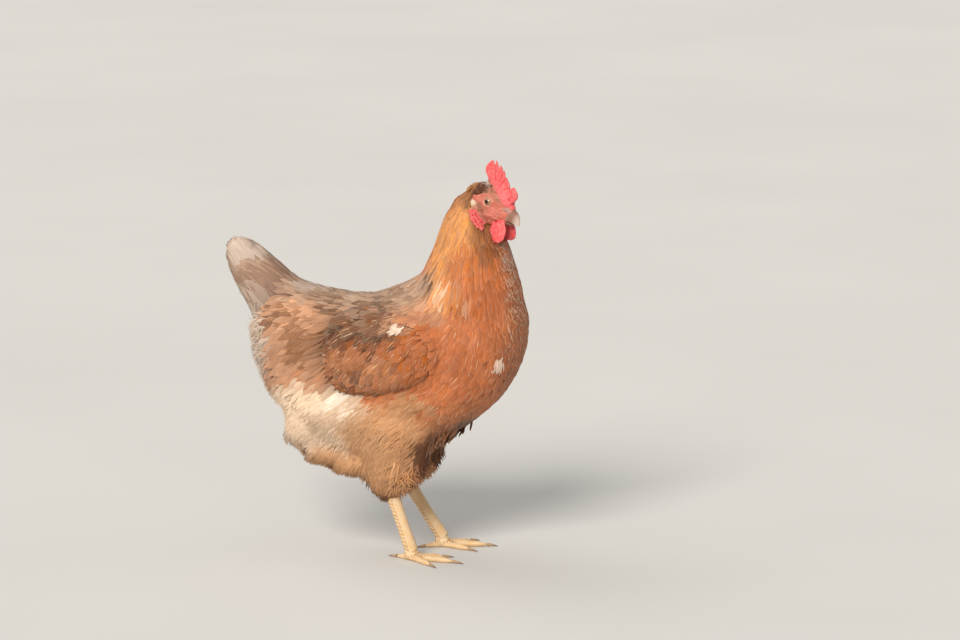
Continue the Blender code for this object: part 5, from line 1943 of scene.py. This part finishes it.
class HenColours(bpy.types.PropertyGroup):
    cinnamon: colour("Cinnamon", "Breast and sides", (0.48, 0.142, 0.05))
    gold: colour("Gold", "Sides of the neck", (0.68, 0.29, 0.096))
    amber: colour("Amber", "Base of the neck", (0.46, 0.122, 0.033))
    russet: colour("Russet", "Front of the breast", (0.5, 0.17, 0.062))
    # Umber also paints shade: on the throat, under the breast, in the neck's crease and on the far
    # thigh.
    umber: colour("Umber", "Darkest feathers", (0.078, 0.031, 0.014))
    mist: colour("Mist", "Back and tail coverts", (0.41, 0.262, 0.175))
    buff: colour("Buff", "Saddle", (0.54, 0.28, 0.16))
    flank: colour("Flank", "Side of the rump", (0.19, 0.072, 0.026))
    fleece: colour("Fleece", "Fluff of the belly", (0.59, 0.41, 0.285))
    thigh: colour("Thigh", "Thighs", (0.49, 0.255, 0.122))
    # Also painted light in one crease of the fluff.
    cream: colour("Cream", "Pale edges and patches", (0.83, 0.62, 0.44))
    white: colour("White", "White feathers", (0.95, 0.82, 0.68))
    tail: colour("Tail", "Tail feathers", (0.27, 0.158, 0.109))
    plume: colour("Plume", "Tail tip and crown streaks", (0.56, 0.45, 0.385))
    brown: colour("Brown", "Dark mottling of the saddle", (0.20, 0.085, 0.040))
    ash: colour("Ash", "Under side of the tail", (0.58, 0.475, 0.385))
    chestnut: colour("Chestnut", "Wings", (0.32, 0.098, 0.032))
    brick: colour("Brick", "Wing bows", (0.44, 0.125, 0.036))
    dun: colour("Dun", "Lower wing coverts", (0.40, 0.165, 0.075))
    crown: colour("Crown", "Crown of the head", (0.085, 0.022, 0.006))
    nape: colour("Nape", "Back of the head", (0.38, 0.15, 0.046))
    quill: colour("Quill", "Feather shafts", (0.74, 0.5, 0.3))
    face: colour("Face", "Bare face", (0.54, 0.135, 0.088))
    face_tan: colour("Tan face", "Tan skin of the face", (0.46, 0.17, 0.105))
    # Painted shade under the jaw.
    face_deep: colour("Deep face", "Darker skin under the jaw", (0.33, 0.085, 0.050))
    face_pale: colour("Pale face", "Paler skin of the face", (0.72, 0.23, 0.18))
    comb: colour("Comb", "Comb and wattles", (0.78, 0.088, 0.098))
    comb_pale: colour("Pale comb", "Ridges of the comb and wattles", (0.88, 0.30, 0.27))
    lobe: colour("Ear lobe", "Upper part of the ear lobes", (0.66, 0.52, 0.37))
    lobe_low: colour("Low ear lobe", "Lower part of the ear lobes", (0.52, 0.25, 0.16))
    lid: colour("Lid", "Rims of the eyelids", (0.62, 0.33, 0.23))
    cere: colour("Cere", "Skin round the nostrils", (0.44, 0.245, 0.20))
    bill: colour("Bill", "Horn of the bill", (0.25, 0.115, 0.076))
    bill_tip: colour("Bill tip", "Tip of the bill", (0.66, 0.51, 0.43))
    iris: colour("Iris", "Iris of the eye", (0.26, 0.11, 0.045))
    iris_bright: colour("Bright iris", "Rays of the iris", (0.42, 0.24, 0.12))
    scale: colour("Scale", "Plates of the legs", (0.72, 0.53, 0.32))
    scale_warm: colour("Warm scale", "Warmer plates of the legs", (0.72, 0.46, 0.22))
    joint: colour("Joint", "Joints between the plates", (0.34, 0.16, 0.07))
    sole: colour("Sole", "Soles of the feet", (0.60, 0.38, 0.20))
    claw: colour("Claw", "Roots of the claws", (0.40, 0.26, 0.15))
    claw_tip: colour("Claw tip", "Tips of the claws", (0.17, 0.10, 0.065))


class HenStage(bpy.types.PropertyGroup):
    aim: FloatVectorProperty(
        name="Aim",
        description="What the camera looks at",
        unit="LENGTH",
        default=(0.10181, 0.06165, 0.25132),
    )
    distance: number("Distance", "From the aim to the camera", 5.0, unit="LENGTH")
    azimuth: number("Azimuth", "Camera's way round, in degrees", 12.0)
    elevation: number("Elevation", "Camera's height, in degrees", 10.0)
    focal_length: number("Focal length", "In millimetres", 170.45)
    key_azimuth: number("Key azimuth", "Main light's way round, in degrees", -8.0)
    key_elevation: number("Key elevation", "Main light's height, in degrees", 34.0)
    key_strength: number("Key strength", "Main light's power", 3.2)
    sky_strength: number("Sky strength", "Light from all round", 0.45)


class HEN_OT_skin(bpy.types.Operator):
    """Builds the skin of the body and the head"""

    bl_idname = "hen.skin"
    bl_label = "Skin"

    def execute(self, context):
        build_skin()
        return {"FINISHED"}


class HEN_OT_eyes(bpy.types.Operator):
    """Builds the eyes"""

    bl_idname = "hen.eyes"
    bl_label = "Eyes"

    def execute(self, context):
        for name, side in SIDES:
            build_eye(name, side)
        return {"FINISHED"}


class HEN_OT_bill(bpy.types.Operator):
    """Builds both halves of the bill"""

    bl_idname = "hen.bill"
    bl_label = "Bill"

    def execute(self, context):
        build_bill_half("bill_upper", True)
        build_bill_half("bill_lower", False)
        return {"FINISHED"}


class HEN_OT_legs(bpy.types.Operator):
    """Builds the scaly legs and the claws"""

    bl_idname = "hen.legs"
    bl_label = "Legs"

    def execute(self, context):
        for name, _ in SIDES:
            build_leg(name)
            build_claws(name)
        return {"FINISHED"}


class HEN_OT_breast_feathers(bpy.types.Operator):
    """Grows the feathers of the breast, sides and belly"""

    bl_idname = "hen.breast_feathers"
    bl_label = "Breast feathers"

    def execute(self, context):
        build_trunk_feathers(ground_now())
        build_belly_tufts(ground_now())
        build_white_flecks(ground_now())
        return {"FINISHED"}


class HEN_OT_hackles(bpy.types.Operator):
    """Grows the feathers of the neck"""

    bl_idname = "hen.hackles"
    bl_label = "Hackles"

    def execute(self, context):
        build_hackles(ground_now())
        return {"FINISHED"}


class HEN_OT_saddle_feathers(bpy.types.Operator):
    """Grows the feathers of the rump"""

    bl_idname = "hen.saddle_feathers"
    bl_label = "Saddle feathers"

    def execute(self, context):
        build_saddle_feathers(ground_now())
        return {"FINISHED"}


class HEN_OT_fluff(bpy.types.Operator):
    """Grows the soft fluff behind the legs and the wisps of the rump"""

    bl_idname = "hen.fluff"
    bl_label = "Fluff"

    def execute(self, context):
        build_fluff(ground_now())
        build_wisps(ground_now())
        return {"FINISHED"}


class HEN_OT_thigh_feathers(bpy.types.Operator):
    """Grows the soft feathers of the thighs"""

    bl_idname = "hen.thigh_feathers"
    bl_label = "Thigh feathers"

    def execute(self, context):
        build_thigh_feathers(ground_now())
        return {"FINISHED"}


class HEN_OT_wing_feathers(bpy.types.Operator):
    """Grows the feathers of the folded wings"""

    bl_idname = "hen.wing_feathers"
    bl_label = "Wing feathers"

    def execute(self, context):
        build_wing_feathers(ground_now())
        return {"FINISHED"}


class HEN_OT_tail_feathers(bpy.types.Operator):
    """Grows the feathers of the tail"""

    bl_idname = "hen.tail_feathers"
    bl_label = "Tail feathers"

    def execute(self, context):
        build_tail_feathers(ground_now())
        return {"FINISHED"}


class HEN_OT_head_feathers(bpy.types.Operator):
    """Grows the feathers of the crown and the bristles of the face"""

    bl_idname = "hen.head_feathers"
    bl_label = "Head feathers"

    def execute(self, context):
        build_head_feathers(ground_now())
        build_face_bristles(ground_now())
        return {"FINISHED"}


class HEN_OT_stage(bpy.types.Operator):
    """Sets the floor, the lights and the camera"""

    bl_idname = "hen.stage"
    bl_label = "Stage"

    def execute(self, context):
        build_floor()
        build_light()
        build_camera()
        return {"FINISHED"}


OPERATORS = (
    HEN_OT_skin,
    HEN_OT_eyes,
    HEN_OT_bill,
    HEN_OT_legs,
    HEN_OT_breast_feathers,
    HEN_OT_hackles,
    HEN_OT_saddle_feathers,
    HEN_OT_fluff,
    HEN_OT_thigh_feathers,
    HEN_OT_wing_feathers,
    HEN_OT_tail_feathers,
    HEN_OT_head_feathers,
    HEN_OT_stage,
)


class HEN_PT_panel(bpy.types.Panel):
    bl_label = "Laying hen"
    bl_idname = "HEN_PT_panel"
    bl_space_type = "VIEW_3D"
    bl_region_type = "UI"
    bl_category = "Hen"

    def draw(self, context):
        for operator in OPERATORS:
            self.layout.operator(operator.bl_idname)
        for group in (context.scene.hen_sizes, context.scene.hen_stage, context.scene.hen_colours):
            for name in group.__annotations__:
                self.layout.prop(group, name)


CLASSES = (HenSizes, HenColours, HenStage, *OPERATORS, HEN_PT_panel)


def register():
    for cls in CLASSES:
        bpy.utils.register_class(cls)
    bpy.types.Scene.hen_sizes = PointerProperty(type=HenSizes)
    bpy.types.Scene.hen_colours = PointerProperty(type=HenColours)
    bpy.types.Scene.hen_stage = PointerProperty(type=HenStage)


def unregister():
    for name in ("hen_sizes", "hen_colours", "hen_stage"):
        delattr(bpy.types.Scene, name)
    for cls in reversed(CLASSES):
        bpy.utils.unregister_class(cls)


def main():
    register()
    bpy.ops.hen.skin()
    bpy.ops.hen.eyes()
    bpy.ops.hen.bill()
    bpy.ops.hen.legs()
    bpy.ops.hen.breast_feathers()
    bpy.ops.hen.hackles()
    bpy.ops.hen.saddle_feathers()
    bpy.ops.hen.fluff()
    bpy.ops.hen.thigh_feathers()
    bpy.ops.hen.wing_feathers()
    bpy.ops.hen.tail_feathers()
    bpy.ops.hen.head_feathers()
    bpy.ops.hen.stage()


if __name__ == "__main__":
    main()
